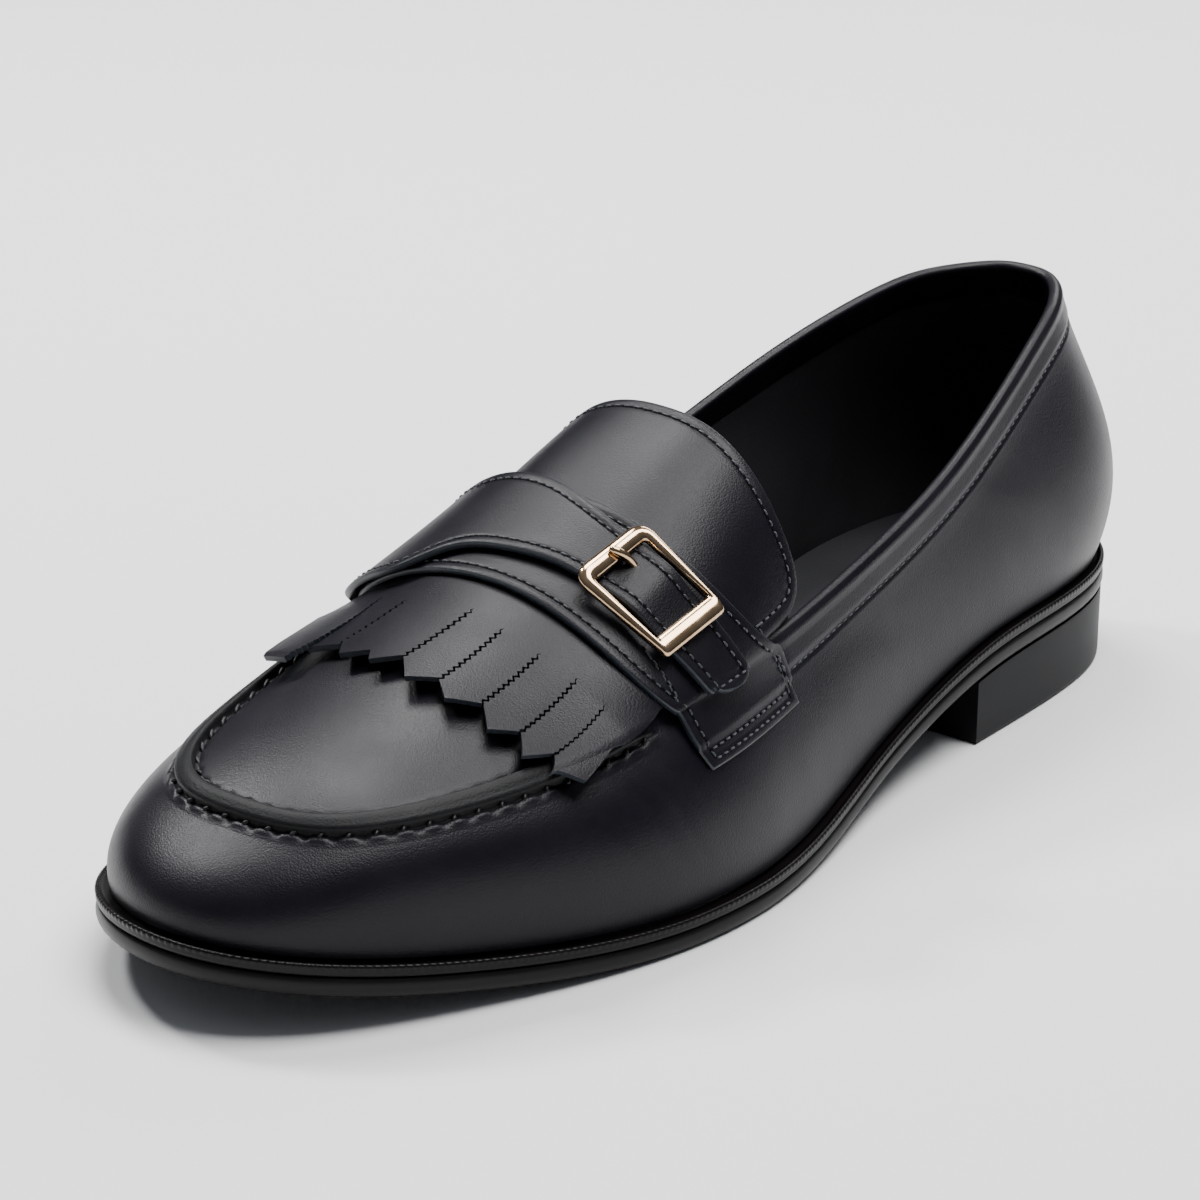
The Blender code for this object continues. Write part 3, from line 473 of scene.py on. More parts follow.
# The same for the outer side of the apron ridge, then its inner side over the vamp
APRON_WALL = [(0.0, 1.6), (0.3, 1.3), (0.55, 0.4), (0.8, -0.2), (1.1, 0.05), (1.5, 0.42), (2.0, 0.42),
              (2.7, 0.2), (3.6, 0.04), (5.0, 0.0), (12.0, 0.0)]
APRON_ROLL = [(0.0, 1.6), (0.4, 2.0), (0.9, 2.25), (1.5, 2.3), (2.1, 2.15), (2.5, 1.75), (2.9, 0.9),
              (3.25, 0.0), (3.7, -0.35), (4.3, -0.1), (5.1, 0.0)]
APRON_PITCH = 5.3
# Puckers at the hand stitches: depth on the wall and on the vamp, half length along the seam,
# and for wall and vamp the distance from the edge and the half width
PUCKER_DEPTH = (0.6, 0.35)
PUCKER_WIDTH = 0.95
PUCKER_WALL = (1.5, 0.8)
PUCKER_VAMP = (3.6, 0.8)
# How far down the wall and in over the vamp the ridge is dyed, and how high it stands there
RIDGE_DYED = (0.9, 3.3)
DYED_FROM = 0.3
WALL_ROWS = 24
# Folded collar: extra thickness, rows, flatness of its top, depth inside, and the depth
# and height at which its skived edge starts and ends
FOLDED_THICKER = 0.9
RIM_ROWS = 9
RIM_FLATNESS = 0.75
FOLD_DEPTH = 7.5
SKIVED_EDGE = (6.4, 0.35)
# Soft creases: station, across, length along, width, depth in mm and turn in degrees. A crease
# reaches only the wall that lies within SAME_SIDE of it.
SAME_SIDE = 25.0
CREASES = [
    (214.0, 1.34, 26.0, 4.0, -0.28, 62.0),
    (207.0, 1.42, 20.0, 3.2, -0.2, 66.0),
    (222.0, 1.36, 18.0, 3.4, -0.18, 58.0),
    (212.0, -1.34, 24.0, 4.0, -0.25, 62.0),
    (120.0, 1.45, 34.0, 9.0, -0.3, 12.0),
    (70.0, 1.4, 30.0, 8.0, 0.22, 20.0),
]


def wall(number, level):
    """Outer wall of the upper; level 0 is the sole, 1 the top edge."""
    row = around(number)
    normal = outward(number)
    foot = row[:, :2] - normal * table(LEDGE_WIDTH, row[:, 0])[:, None]
    lean_out = np.radians(row[:, 5])[:, None]
    lean_in = np.radians(row[:, 6])[:, None]
    clear = GAP + UPPER_WALL * np.maximum(-np.sin(lean_out), 0.0)
    low = np.concatenate([foot, seat(foot[:, 0])[:, None] + clear], 1)
    high = row[:, 2:5]
    out = np.concatenate([normal, np.zeros((len(normal), 1))], 1)
    up = np.array([0.0, 0.0, 1.0])
    chord = np.linalg.norm(high - low, axis=1)[:, None]
    low_handle = low + (out * np.sin(lean_out) + up * np.cos(lean_out)) * chord * FOOT_HANDLE
    high_handle = high + (out * np.sin(lean_in) - up * np.cos(lean_in)) * chord * TOP_HANDLE
    v = np.asarray(level, float).reshape(len(normal), -1, 1)
    low, high, low_handle, high_handle = (q[:, None, :] for q in (low, high, low_handle, high_handle))
    return (low * (1 - v) ** 3 + 3 * low_handle * v * (1 - v) ** 2
            + 3 * high_handle * v ** 2 * (1 - v) + high * v ** 3)


SIDE_NUMBERS = np.linspace(0.0, TOE_NUMBER, 400)
LATERAL_STATIONS = around(SIDE_NUMBERS)[:, 2]
MEDIAL_STATIONS = around(LOOP - SIDE_NUMBERS)[:, 2]


def lateral_number(station):
    return np.interp(station, LATERAL_STATIONS, SIDE_NUMBERS)


def medial_number(station):
    return LOOP - np.interp(station, MEDIAL_STATIONS, SIDE_NUMBERS)


def vamp_frame(station):
    """Both top edges at a station, the crown height and the powers of the arch."""
    lateral = around(lateral_number(station))[:, 2:5]
    medial = around(medial_number(station))[:, 2:5]
    crown = np.asarray(CROWN)
    height, fullness, power = spline(crown[:, 0], crown[:, 1:], station).T
    return lateral, medial, height, fullness, power


def vamp_height(station, x):
    lateral, medial, height, fullness, power = vamp_frame(station)
    middle = (lateral + medial) / 2
    half = np.maximum((lateral[:, 1] - medial[:, 1]) / 2, 0.1)
    u = np.clip((x - middle[:, 1]) / half, -1.0, 1.0)
    edge = middle[:, 2] + (lateral[:, 2] - medial[:, 2]) / 2 * u
    arch = (1 - (VAMP_SHOULDER * np.abs(u)) ** fullness) ** power
    arch_at_edge = (1 - VAMP_SHOULDER ** fullness) ** power
    return edge + np.maximum(height - middle[:, 2], 0.0) * (arch - arch_at_edge) / (1 - arch_at_edge)


def vamp_place(station, across):
    lateral, medial = vamp_frame(station)[:2]
    u = np.sin(np.pi / 2 * across)
    return (lateral[:, 1] + medial[:, 1]) / 2 + (lateral[:, 1] - medial[:, 1]) / 2 * u


def skin(station, across):
    """Outer surface at a station: across 0 is the crown, 1 and -1 the top edges, 2 and -2 the sole."""
    station = np.atleast_1d(np.asarray(station, float))
    across = np.broadcast_to(np.asarray(across, float), station.shape)
    x = vamp_place(station, np.clip(across, -1.0, 1.0))
    point = np.stack([station, x, vamp_height(station, x)], 1)
    for side, number in ((1.0, lateral_number), (-1.0, medial_number)):
        beyond = side * across > 1.0
        if beyond.any():
            point[beyond] = wall(number(station[beyond]), 2.0 - side * across[beyond])[:, 0]
    return point


def skin_frame(station, across):
    """Change of the surface per station and per share across, and its outward normal."""
    along, sideways = 0.6, 0.03
    forward = (skin(station + along, across) - skin(station - along, across)) / (2 * along)
    aside = (skin(station, across + sideways) - skin(station, across - sideways)) / (2 * sideways)
    return forward, aside, unit(np.cross(forward, aside))


def lifted(station, across, lift):
    """Point over the outer surface, moved out along its normal."""
    return skin(station, across) + skin_frame(station, across)[2] * np.reshape(lift, (-1, 1))


def fade(value, start, end):
    return np.clip((np.asarray(value, float) - start) / (end - start), 0.0, 1.0)


def bell(value, centre, width):
    return np.exp(-((value - centre) / width) ** 2)


def crease_height(points):
    """Height of the creases at places on the surface, each a soft trough or ridge."""
    height = np.zeros(len(points))
    for station, across, length, width, depth, turn in CREASES:
        away = points - skin(np.array([station]), across)[0]
        cosine, sine = math.cos(math.radians(turn)), math.sin(math.radians(turn))
        along = away[:, 0] * cosine + away[:, 2] * sine
        aside = away[:, 0] * sine - away[:, 2] * cosine
        near = np.exp(-(along / length * 2) ** 2 - (aside / width * 2) ** 2)
        height += depth * near * (np.abs(away[:, 1]) < SAME_SIDE)
    return height


number = np.arange(0.0, LOOP, 1.0 / UPPER_COLUMNS)
count = len(number)
top = around(number)[:, 2:5]
band = 1.0 - fade(top[:, 0], *BAND_ENDS)
roll = fade(top[:, 0], *ROLL_STARTS)
pucker = np.exp(-(((run_along(top) / APRON_PITCH + 0.5) % 1.0 - 0.5) * APRON_PITCH / PUCKER_WIDTH) ** 2)

# Wall: even rows from the sole up, then close rows near the top edge at set distances from it
near_top = np.concatenate([np.arange(12.0, 5.0, -0.5), np.arange(5.0, -0.01, -0.25)])
fine = np.linspace(0.0, 1.0, 80)
reach = [run_along(line) for line in wall(number, np.tile(fine, (count, 1)))]
near_level = np.stack([[np.interp(line[-1] - d, line, fine) for d in near_top] for line in reach])
far_level = near_level[:, :1] * np.linspace(0.0, 1.0, WALL_ROWS + 1)[None, :-1]
level = np.concatenate([far_level, near_level], 1)
distance = np.concatenate([np.full(WALL_ROWS, near_top[0]), near_top])
lift = (table(COLLAR_BAND, distance)[None] * band[:, None]
        + table(APRON_WALL, distance)[None] * roll[:, None])
lift -= PUCKER_DEPTH[0] * (pucker * roll)[:, None] * bell(distance, *PUCKER_WALL)[None]
place = wall(number, level)
above = np.minimum(level + 0.01, 1.0)
ahead = wall(number + 0.05, level) - wall(number - 0.05, level)
wall_normal = unit(np.cross(wall(number, above) - wall(number, above - 0.02), ahead))
crease = crease_height(place.reshape(-1, 3)).reshape(place.shape[:2])
wall_points = place + wall_normal * (lift + crease)[:, :, None]
points = [wall_points.reshape(-1, 3)]
faces = grid_faces(count, wall_points.shape[1], closed=True)
slots = (np.minimum(distance[:-1], distance[1:])[None] < RIDGE_DYED[0]) & (roll > DYED_FROM)[:, None]
slots = slots.astype(int).ravel().tolist()

# Collar: the band's leather turned over the edge and folded down inside
throat = int(THROAT_SECTION * UPPER_COLUMNS)
collar = np.roll(np.arange(count), throat)[:2 * throat + 1]
edge = wall_points[collar, -1]
rim_normal = wall_normal[collar, -1]
rim_up = edge - wall_points[collar, -3]
rim_up = unit(rim_up - rim_normal * (rim_up * rim_normal).sum(1)[:, None])
radius = (UPPER_WALL + FOLDED_THICKER) / 2
rim = [edge]
for turn in np.linspace(0.0, np.pi, RIM_ROWS)[1:]:
    rim.append(edge + rim_normal * radius * (math.cos(turn) - 1.0)
               + rim_up * radius * RIM_FLATNESS * math.sin(turn))
for depth in np.linspace(0.0, FOLD_DEPTH, RIM_ROWS)[1:]:
    skived = SKIVED_EDGE[1] * fade(depth, SKIVED_EDGE[0], FOLD_DEPTH)
    rim.append(rim[RIM_ROWS - 1] - rim_up * depth + rim_normal * skived)
rim = np.stack(rim, 1)
folded = grid_faces(*rim.shape[:2], start=len(points[0]))
points.append(rim.reshape(-1, 3))
faces += folded
slots += [0] * len(folded)

# Vamp: the ridge in from both top edges, then a smooth arch between them
ROLL_STEPS = np.concatenate([np.arange(0.25, 5.1, 0.25), [5.4, 5.8]])
VAMP_STEPS = 52
ROLL_OVERHANG = 0.6
vamp_rows = []
first, last = throat, TOE_NUMBER * UPPER_COLUMNS
for i in range(first, last + 1):
    sides = []
    for j in (i, (count - i) % count):
        before, here, after = around(number[j] + np.array([-0.02, 0.0, 0.02]))[:, 2:4]
        along = after - before
        out = np.array([-along[1], along[0]]) / np.hypot(*along)
        shift = ROLL_OVERHANG * np.clip(1 - ROLL_STEPS / 2.0, 0.0, 1.0) * roll[j]
        flat = here + out * (shift - ROLL_STEPS)[:, None]
        height = table(APRON_ROLL, ROLL_STEPS) * roll[j]
        height -= PUCKER_DEPTH[1] * pucker[j] * roll[j] * bell(ROLL_STEPS, *PUCKER_VAMP)
        sides.append(np.column_stack([flat, vamp_height(flat[:, 0], flat[:, 1]) + height]))
    start, end = sides[0][-1], sides[1][-1]
    share = (1 - np.cos(np.linspace(0.0, np.pi, VAMP_STEPS + 1)[1:-1])) / 2
    middle = start[:2] + (end[:2] - start[:2]) * share[:, None]
    middle = np.column_stack([middle, vamp_height(middle[:, 0], middle[:, 1])])
    vamp_rows.append(np.concatenate([wall_points[i, -1:], sides[0], middle, sides[1][::-1],
                                     wall_points[(count - i) % count, -1:]]))
vamp_rows = np.array(vamp_rows)
faces += grid_faces(*vamp_rows.shape[:2], start=sum(len(part) for part in points))
points.append(vamp_rows.reshape(-1, 3))
dyed = np.concatenate([[0.0], ROLL_STEPS])[:-1] < RIDGE_DYED[1]
dyed = np.concatenate([dyed, np.zeros(vamp_rows.shape[1] - 1 - 2 * len(dyed), bool), dyed[::-1]])
slots += (dyed[None] & (roll[first:last] > DYED_FROM)[:, None]).astype(int).ravel().tolist()
GRAIN_WOBBLE = 0.2


def calf(name, low, high, roughness, grain_mm, coat):
    """Smooth finished calf: close grain, soft shine, drifting colour. The real grain of about 0.2 mm
    is drawn at grain_mm, so that it shows."""
    made, tree, shader, place = new_material(name, low, roughness, Coat_Weight=coat, Coat_Roughness=0.34,
                                             Specular_IOR_Level=0.19)
    drift = add(tree, "ShaderNodeTexNoise", links={"Vector": place},
                values={"Scale": 1 / (22 * MM), "Detail": 5.0, "Roughness": 0.6})
    wobble = add(tree, "ShaderNodeTexNoise", links={"Vector": place},
                 values={"Scale": 1 / (1.6 * grain_mm * MM), "Detail": 2.0})
    bent = add(tree, "ShaderNodeVectorMath", {"operation": "MULTIPLY_ADD"},
               {0: wobble.outputs["Color"], 2: place},
               {1: [GRAIN_WOBBLE * MM] * 3})
    pebble = add(tree, "ShaderNodeTexVoronoi", {"feature": "SMOOTH_F1"}, {"Vector": bent.outputs[0]},
                 {"Scale": 1 / (grain_mm * MM), "Smoothness": 0.4})
    pores = add(tree, "ShaderNodeTexNoise", links={"Vector": place},
                values={"Scale": 1 / (0.3 * MM), "Detail": 2.0})
    colours = add(tree, "ShaderNodeMix", {"data_type": "RGBA"}, {0: drift.outputs[0]},
                  {6: linear(low), 7: linear(high)})
    tree.links.new(colours.outputs[2], shader.inputs["Base Color"])
    polish = add(tree, "ShaderNodeMapRange", links={"Value": drift.outputs[0]},
                 values={"From Min": 0.3, "From Max": 0.7, "To Min": roughness - 0.04,
                         "To Max": roughness + 0.06})
    tree.links.new(polish.outputs[0], shader.inputs["Roughness"])
    fine = add(tree, "ShaderNodeBump", links={"Height": pores.outputs[0]},
               values={"Strength": 0.5, "Distance": 0.06 * MM})
    grain = add(tree, "ShaderNodeBump", {"invert": True},
                {"Height": pebble.outputs["Distance"], "Normal": fine.outputs[0]},
                {"Strength": 0.6, "Distance": 0.07 * MM})
    tree.links.new(grain.outputs[0], shader.inputs["Normal"])
    return made


# Edge of the apron: the cut calf of the ridge, dyed black and duller than the rest
ridge_calf = calf("black_dyed_apron_edge", "#050506", "#0c0d10", 0.5, 0.5, 0.0)
# Box calf: near-black with a cool charcoal cast where the finish catches the light
box_calf = calf("black_box_calf", "#09080e", "#110f18", 0.38, 0.4, 0.04)
make_piece("lasted_upper", np.concatenate(points), faces, [box_calf, ridge_calf], slots, sharp=70.0,
           stands_for=["upper"])

# Lining: black lining leather glued inside the whole upper
LINING_COLUMNS = 8
LINED_VAMP = (152.0, 277.0)
columns = np.arange(0.0, LOOP, 1.0 / LINING_COLUMNS)
level = np.tile(np.linspace(0.0, 0.98, 28), (len(columns), 1))
face = unit(np.cross(wall(columns, level + 0.01) - wall(columns, level - 0.01),
                     wall(columns + 0.05, level) - wall(columns - 0.05, level)))
lining = wall(columns, level) - face * UPPER_WALL
faces = grid_faces(len(columns), level.shape[1], closed=True)
stations, across = np.meshgrid(np.linspace(*LINED_VAMP, 70), np.linspace(-1.0, 1.0, 45), indexing="ij")
inside_vamp = lifted(stations.ravel(), across.ravel(), -UPPER_WALL)
faces += grid_faces(*stations.shape, start=lining.shape[0] * lining.shape[1])
make_piece("upper_lining", np.concatenate([lining.reshape(-1, 3), inside_vamp]), faces, [lining_black])

# Tongue. A single piece of the same calf, skived and arched over the instep, with a row
# of lockstitch near its cut edge. The edge is sealed with blue-black edge paint.
TONGUE_LIFT = (0.3, 1.7)
TONGUE_FRONT = 190.0
# across, back edge
TONGUE_ROWS = [
    (-0.88, 165.0),
    (-0.85, 156.0),
    (-0.78, 152.0),
    (-0.62, 150.5),
    (-0.3, 150.2),
    (0.0, 150.0),
    (0.3, 150.2),
    (0.62, 150.3),
    (0.74, 150.5),
    (0.8, 151.9),
    (0.835, 154.2),
    (0.86, 157.8),
    (0.872, 161.6),
    (0.88, 167.0),
]
EDGE_ROUND = 0.45
# Distances from a cut edge at which a sheet has its own rows
NEAR_EDGE = [0.0, 0.12, 0.3, 0.55, 1.0, 1.7, 2.3, 2.7, 3.1, 3.9]
MIDDLE_ROWS = 14
COLUMN_SPACING = 1.0
# Margin of the even columns from a band's ends, and the width under which its rim rows close up
END_MARGIN = 4.5
NARROW_BAND = 10.0
# Height and half width of the groove along a seam and of the swell between seam and edge
SEAM_GROOVE = (-0.16, 0.35)
EDGE_SWELL = (0.12, 0.8)
THREAD_PITCH = 2.45
THREAD_LENGTH = THREAD_PITCH * 0.62
THREAD_WIDTH = 0.44
# Half the distance between two needle holes, as their offset along the seam
HOLE_REACH = THREAD_PITCH / 2.3
THREAD_SIDES = 7
THREAD_ROWS = 8
HOLE_SIDES = 10
HOLE_HALF_WIDTH = 0.3
TONGUE_INSET = 2.7


def edge_columns(rows):
    """Shares across, spaced evenly along a band's edges, and the edges' stations there."""
    rows = np.asarray(rows, float)
    dense = np.linspace(rows[0, 0], rows[-1, 0], 1600)
    edges = spline(rows[:, 0], rows[:, 1:], dense)
    length = sum(run_along(skin(edges[:, k], dense)) for k in (0, -1)) / 2
    total = length[-1]
    middle = np.linspace(END_MARGIN, total - END_MARGIN, int(total / COLUMN_SPACING))
    wanted = np.concatenate([NEAR_EDGE, middle, total - np.array(NEAR_EDGE[::-1])])
    across = np.interp(wanted, length, dense)
    return across, spline(rows[:, 0], rows[:, 1:], across)


def strip_rows(edges, columns, narrow, middle_rows):
    """Stations from each back edge to its front edge, with the same close rows along both."""
    stations = []
    for back, front in edges:
        wide = front - back
        rim = columns * min(1.0, wide / narrow)
        middle = np.linspace(rim[-1], wide - rim[-1], middle_rows + 2)[1:-1]
        stations.append(back + np.concatenate([rim, middle, wide - rim[::-1]]))
    return np.array(stations)


def band_grid(rows):
    """Grid of a band whose rows run from its back edge to its front edge."""
    across, edges = edge_columns(rows)
    stations = strip_rows(edges, np.array(NEAR_EDGE), NARROW_BAND, MIDDLE_ROWS)
    return stations, np.repeat(across[:, None], stations.shape[1], 1)


def leather_sheet(name, stations, across, low, high, leather, edge, stands_for, seam=None):
    """A cut piece over the vamp: rounded and painted edges, upper and under face."""
    shape = stations.shape
    base = lifted(stations.ravel(), across.ravel(), np.broadcast_to(high, shape).ravel())
    grid = base.reshape(shape + (3,))
    border = np.concatenate([grid[0], grid[-1], grid[:, 0], grid[:, -1]])
    gap = np.array([np.sqrt(((border - p) ** 2).sum(1).min()) for p in base]).reshape(shape)
    over = np.clip(EDGE_ROUND - gap, 0.0, None)
    drop = EDGE_ROUND - np.sqrt(EDGE_ROUND ** 2 - over ** 2)
    relief = 0.0
    if seam:
        relief = (SEAM_GROOVE[0] * bell(gap, seam, SEAM_GROOVE[1])
                  + EDGE_SWELL[0] * bell(gap, seam / 2, EDGE_SWELL[1]))
    top = lifted(stations.ravel(), across.ravel(), (high - drop + relief).ravel())
    bottom = lifted(stations.ravel(), across.ravel(), (low + drop * 0.5).ravel())
    count = base.shape[0]
    rows, columns = shape
    faces = grid_faces(rows, columns)
    painted = (gap < EDGE_ROUND * 0.8).ravel()[np.array(faces)].sum(1) >= 3
    slots = painted.astype(int).tolist() + [0] * len(faces)
    faces += grid_faces(rows, columns, start=count)
    rim = [i * columns for i in range(rows)] + [(rows - 1) * columns + i for i in range(1, columns)]
    rim += [i * columns - 1 for i in range(rows - 1, 0, -1)] + list(range(columns - 2, 0, -1))
    for here, after in zip(rim, rim[1:] + rim[:1]):
        faces.append((here, after, after + count, here + count))
        slots.append(1)
    return make_piece(name, np.concatenate([top, bottom]), faces, [leather, edge], slots, sharp=60.0,
                      stands_for=stands_for)


def inset_path(stations, across, distance, side):
    """A line on the surface moved sideways over it by a distance in mm."""
    tangent = np.gradient(skin(stations, across), axis=0)
    forward, aside, normal = skin_frame(stations, across)
    inward = unit(np.cross(normal, tangent) * side)
    a, b, c = (forward ** 2).sum(1), (forward * aside).sum(1), (aside ** 2).sum(1)
    p, q = (forward * inward).sum(1), (aside * inward).sum(1)
    size = a * c - b * b
    return stations + distance * (c * p - b * q) / size, across + distance * (a * q - b * p) / size


def picked(at, length, values):
    """Columns of values read at distances along a line."""
    return np.stack([np.interp(at, length, column) for column in values.T], 1)


def seam(stations, across, lift):
    """Centres, directions and normals of the stitches along a line; lift is a height or a function."""
    height = lift(across) if callable(lift) else np.full(len(stations), lift)
    line = lifted(stations, across, height)
    length = run_along(line)
    at = np.arange(THREAD_PITCH / 2, length[-1], THREAD_PITCH)
    ahead = picked(at + 0.4, length, line) - picked(at - 0.4, length, line)
    normal = skin_frame(np.interp(at, length, stations), np.interp(at, length, across))[2]
    return picked(at, length, line), unit(ahead), normal


def stitches(name, seams, length=THREAD_LENGTH, width=THREAD_WIDTH, sink=0.1, turn=0.0, waxed=None):
    """All stitches of several seams in one mesh: short threads that dip at each end, and flat near-black
    discs of painted shade for the needle holes between them. The waxed thread of the hand seams fills its
    holes."""
    x = np.linspace(-1.0, 1.0, THREAD_ROWS)
    bulk = np.sqrt(np.clip(1.0 - np.abs(x) ** 3.0, 0.02, None))
    angle = np.arange(THREAD_SIDES) * 2 * np.pi / THREAD_SIDES
    points, faces = [], []
    total = 0
    for centre, along, normal in seams:
        side = np.cross(normal, along)
        run = along * math.cos(turn) + side * math.sin(turn)
        side = np.cross(normal, run)
        for c, t, s, n in zip(centre, run, side, normal):
            ring = (c + t * (x[:, None, None] * length / 2)
                    + s * (np.cos(angle)[None, :, None] * bulk[:, None, None] * width / 2)
                    + n * ((np.sin(angle)[None, :] * bulk[:, None] * width / 2
                            + width * 0.5 - sink - width * 0.55 * x[:, None] ** 4)[:, :, None]))
            points.append(ring.reshape(-1, 3))
            end = total + (THREAD_ROWS - 1) * THREAD_SIDES
            faces += ring_faces(THREAD_ROWS, THREAD_SIDES, start=total)
            faces += [list(range(total, total + THREAD_SIDES)), list(range(end, end + THREAD_SIDES))]
            total = end + THREAD_SIDES
    slots = [0] * len(faces)
    # Needle holes: flat near-black discs of painted shade laid just over the leather between the stitches
    turn_to = np.arange(HOLE_SIDES) * 2 * np.pi / HOLE_SIDES
    for centre, along, normal in [] if waxed else seams:
        side = np.cross(normal, along)
        for c, t, s, n in zip(centre, along, side, normal):
            middle = c + t * HOLE_REACH * 1.15 + n * 0.02
            points.append(middle + t * (np.cos(turn_to) * HOLE_REACH * 0.6)[:, None]
                          + s * (np.sin(turn_to) * HOLE_HALF_WIDTH)[:, None])
            faces.append(list(range(total, total + HOLE_SIDES)))
            slots.append(1)
            total += HOLE_SIDES
    return make_piece(name, np.concatenate(points), faces, [waxed or thread_black, painted_hole_shade], slots,
                      sharp=80.0)


# Blue-black edge paint: thicker and duller than the calf, with a faint slate tint
edge_paint, tree, shader, place = new_material("slate_black_edge_paint", "#151b22", 0.48, Coat_Weight=0.1,
                                               Coat_Roughness=0.35)
brush = add(tree, "ShaderNodeTexNoise", links={"Vector": place},
            values={"Scale": 1 / (0.8 * MM), "Detail": 3.0})
dress(tree, shader, brush.outputs[0], 0.3, 0.05, brush, ("#11151a", "#222a33"))

# Needle holes: flat matt near-black discs, painted shade for the dark inside of each hole
painted_hole_shade, tree, shader, place = new_material("black_needle_hole", "#030303", 0.9, Specular_IOR_Level=0.1)
fibre = add(tree, "ShaderNodeTexNoise", links={"Vector": place},
            values={"Scale": 1 / (0.2 * MM), "Detail": 2.0})
dress(tree, shader, fibre.outputs[0], 0.3, 0.05)

# Bonded nylon thread: black with grey glints where its plies catch the light
thread_black, tree, shader, place = new_material("black_bonded_thread", "#15161a", 0.5, Sheen_Weight=0.2)
ply = add(tree, "ShaderNodeTexNoise", links={"Vector": place},
          values={"Scale": 1 / (0.35 * MM), "Detail": 2.0})
dress(tree, shader, ply.outputs[0], 0.6, 0.1, ply, ("#08080a", "#3e434c"))

tongue_rows = [(share, back, TONGUE_FRONT) for share, back in TONGUE_ROWS]
stations, across = band_grid(tongue_rows)
leather_sheet("tongue_leather", stations, across, TONGUE_LIFT[0], TONGUE_LIFT[1], box_calf, edge_paint,
              ["tongue"], seam=TONGUE_INSET)
side_run = np.linspace(TONGUE_FRONT - 4.0, stations[0, 0], 14)[:-1]
ends = [np.full(len(side_run), across[end, 0]) for end in (0, -1)]
line_s = np.concatenate([side_run, stations[:, 0], side_run[::-1]])
line_a = np.concatenate([ends[0], across[:, 0], ends[1]])
stitches("tongue_stitches", [seam(*inset_path(line_s, line_a, TONGUE_INSET, -1.0), TONGUE_LIFT[1])])

# Kiltie. One flap of calf laid over the apron under the saddle, slit from its front edge
# with pinking shears into strips. The free strips curl off the vamp.
KILTIE_LIFT = (0.5, 1.7)
KILTIE_ROOT = 195.5
PINK_PITCH = 1.5
PINK_DEPTH = 0.0085
CUT_GAP = 0.0055
CUT_ROWS = 56
ROOT_ROWS = 6
CORNER_SHARE = 0.82
STRIP_COLUMNS = 9
RIDGE_CROSSING = (0.46, 0.84)
RIDGE_STATIONS = (196.0, 214.0)
RIDGE_HEIGHT = 2.4
# Strips, medial to lateral. Top of the cut on the strip's lateral side, the strip's left shoulder
# and its two tip corners, each as station and across; its curl in mm, and 1 if the cut is open
STRIPS = [
    (212.4, -0.40, 229.1, -0.70, 237.6, -0.62, 238.2, -0.47, 3.0, 1),
    (214.2, -0.25, 229.8, -0.448, 232.2, -0.47, 231.2, -0.31, 1.9, 1),
    (213.6, -0.12, 230.8, -0.305, 235.5, -0.24, 232.4, -0.14, 2.4, 0),
    (213.2, 0.02, 232.4, -0.14, 235.5, -0.1, 231.6, -0.01, 2.4, 1),
    (214.5, 0.16, 231.6, -0.01, 236.6, 0.08, 233.2, 0.17, 2.3, 1),
    (214.5, 0.32, 233.2, 0.17, 236.6, 0.26, 232.6, 0.35, 2.2, 1),
    (213.2, 0.48, 232.6, 0.35, 236.6, 0.46, 232.2, 0.55, 2.0, 1),
    (213.2, 0.64, 232.2, 0.55, 236.2, 0.68, 230.6, 0.755, 1.4, 1),
    (203.0, 0.82, 230.6, 0.755, 234.4, 0.955, 228.0, 1.11, 0.6, 1),
]
CURL_STATIONS = (210.0, 236.0)
CURL_POWER = 1.7
MEDIAL_EDGE = [(195.5, -0.84), (205.0, -0.86)]


def pinked(top, end, share, gap, opened):
    """Points along a pinked cut from its top. The teeth depend on the station alone, so that both
    sides of the cut match."""
    station = top[0] + (end[0] - top[0]) * share
    teeth = np.abs((station / PINK_PITCH) % 1.0 - 0.5) * 4.0 - 1.0
    shift = teeth * PINK_DEPTH * fade(share, 0.0, 0.05) + gap * fade(share, -0.02, 0.1)
    return station, top[1] + (end[1] - top[1]) * share + shift * opened


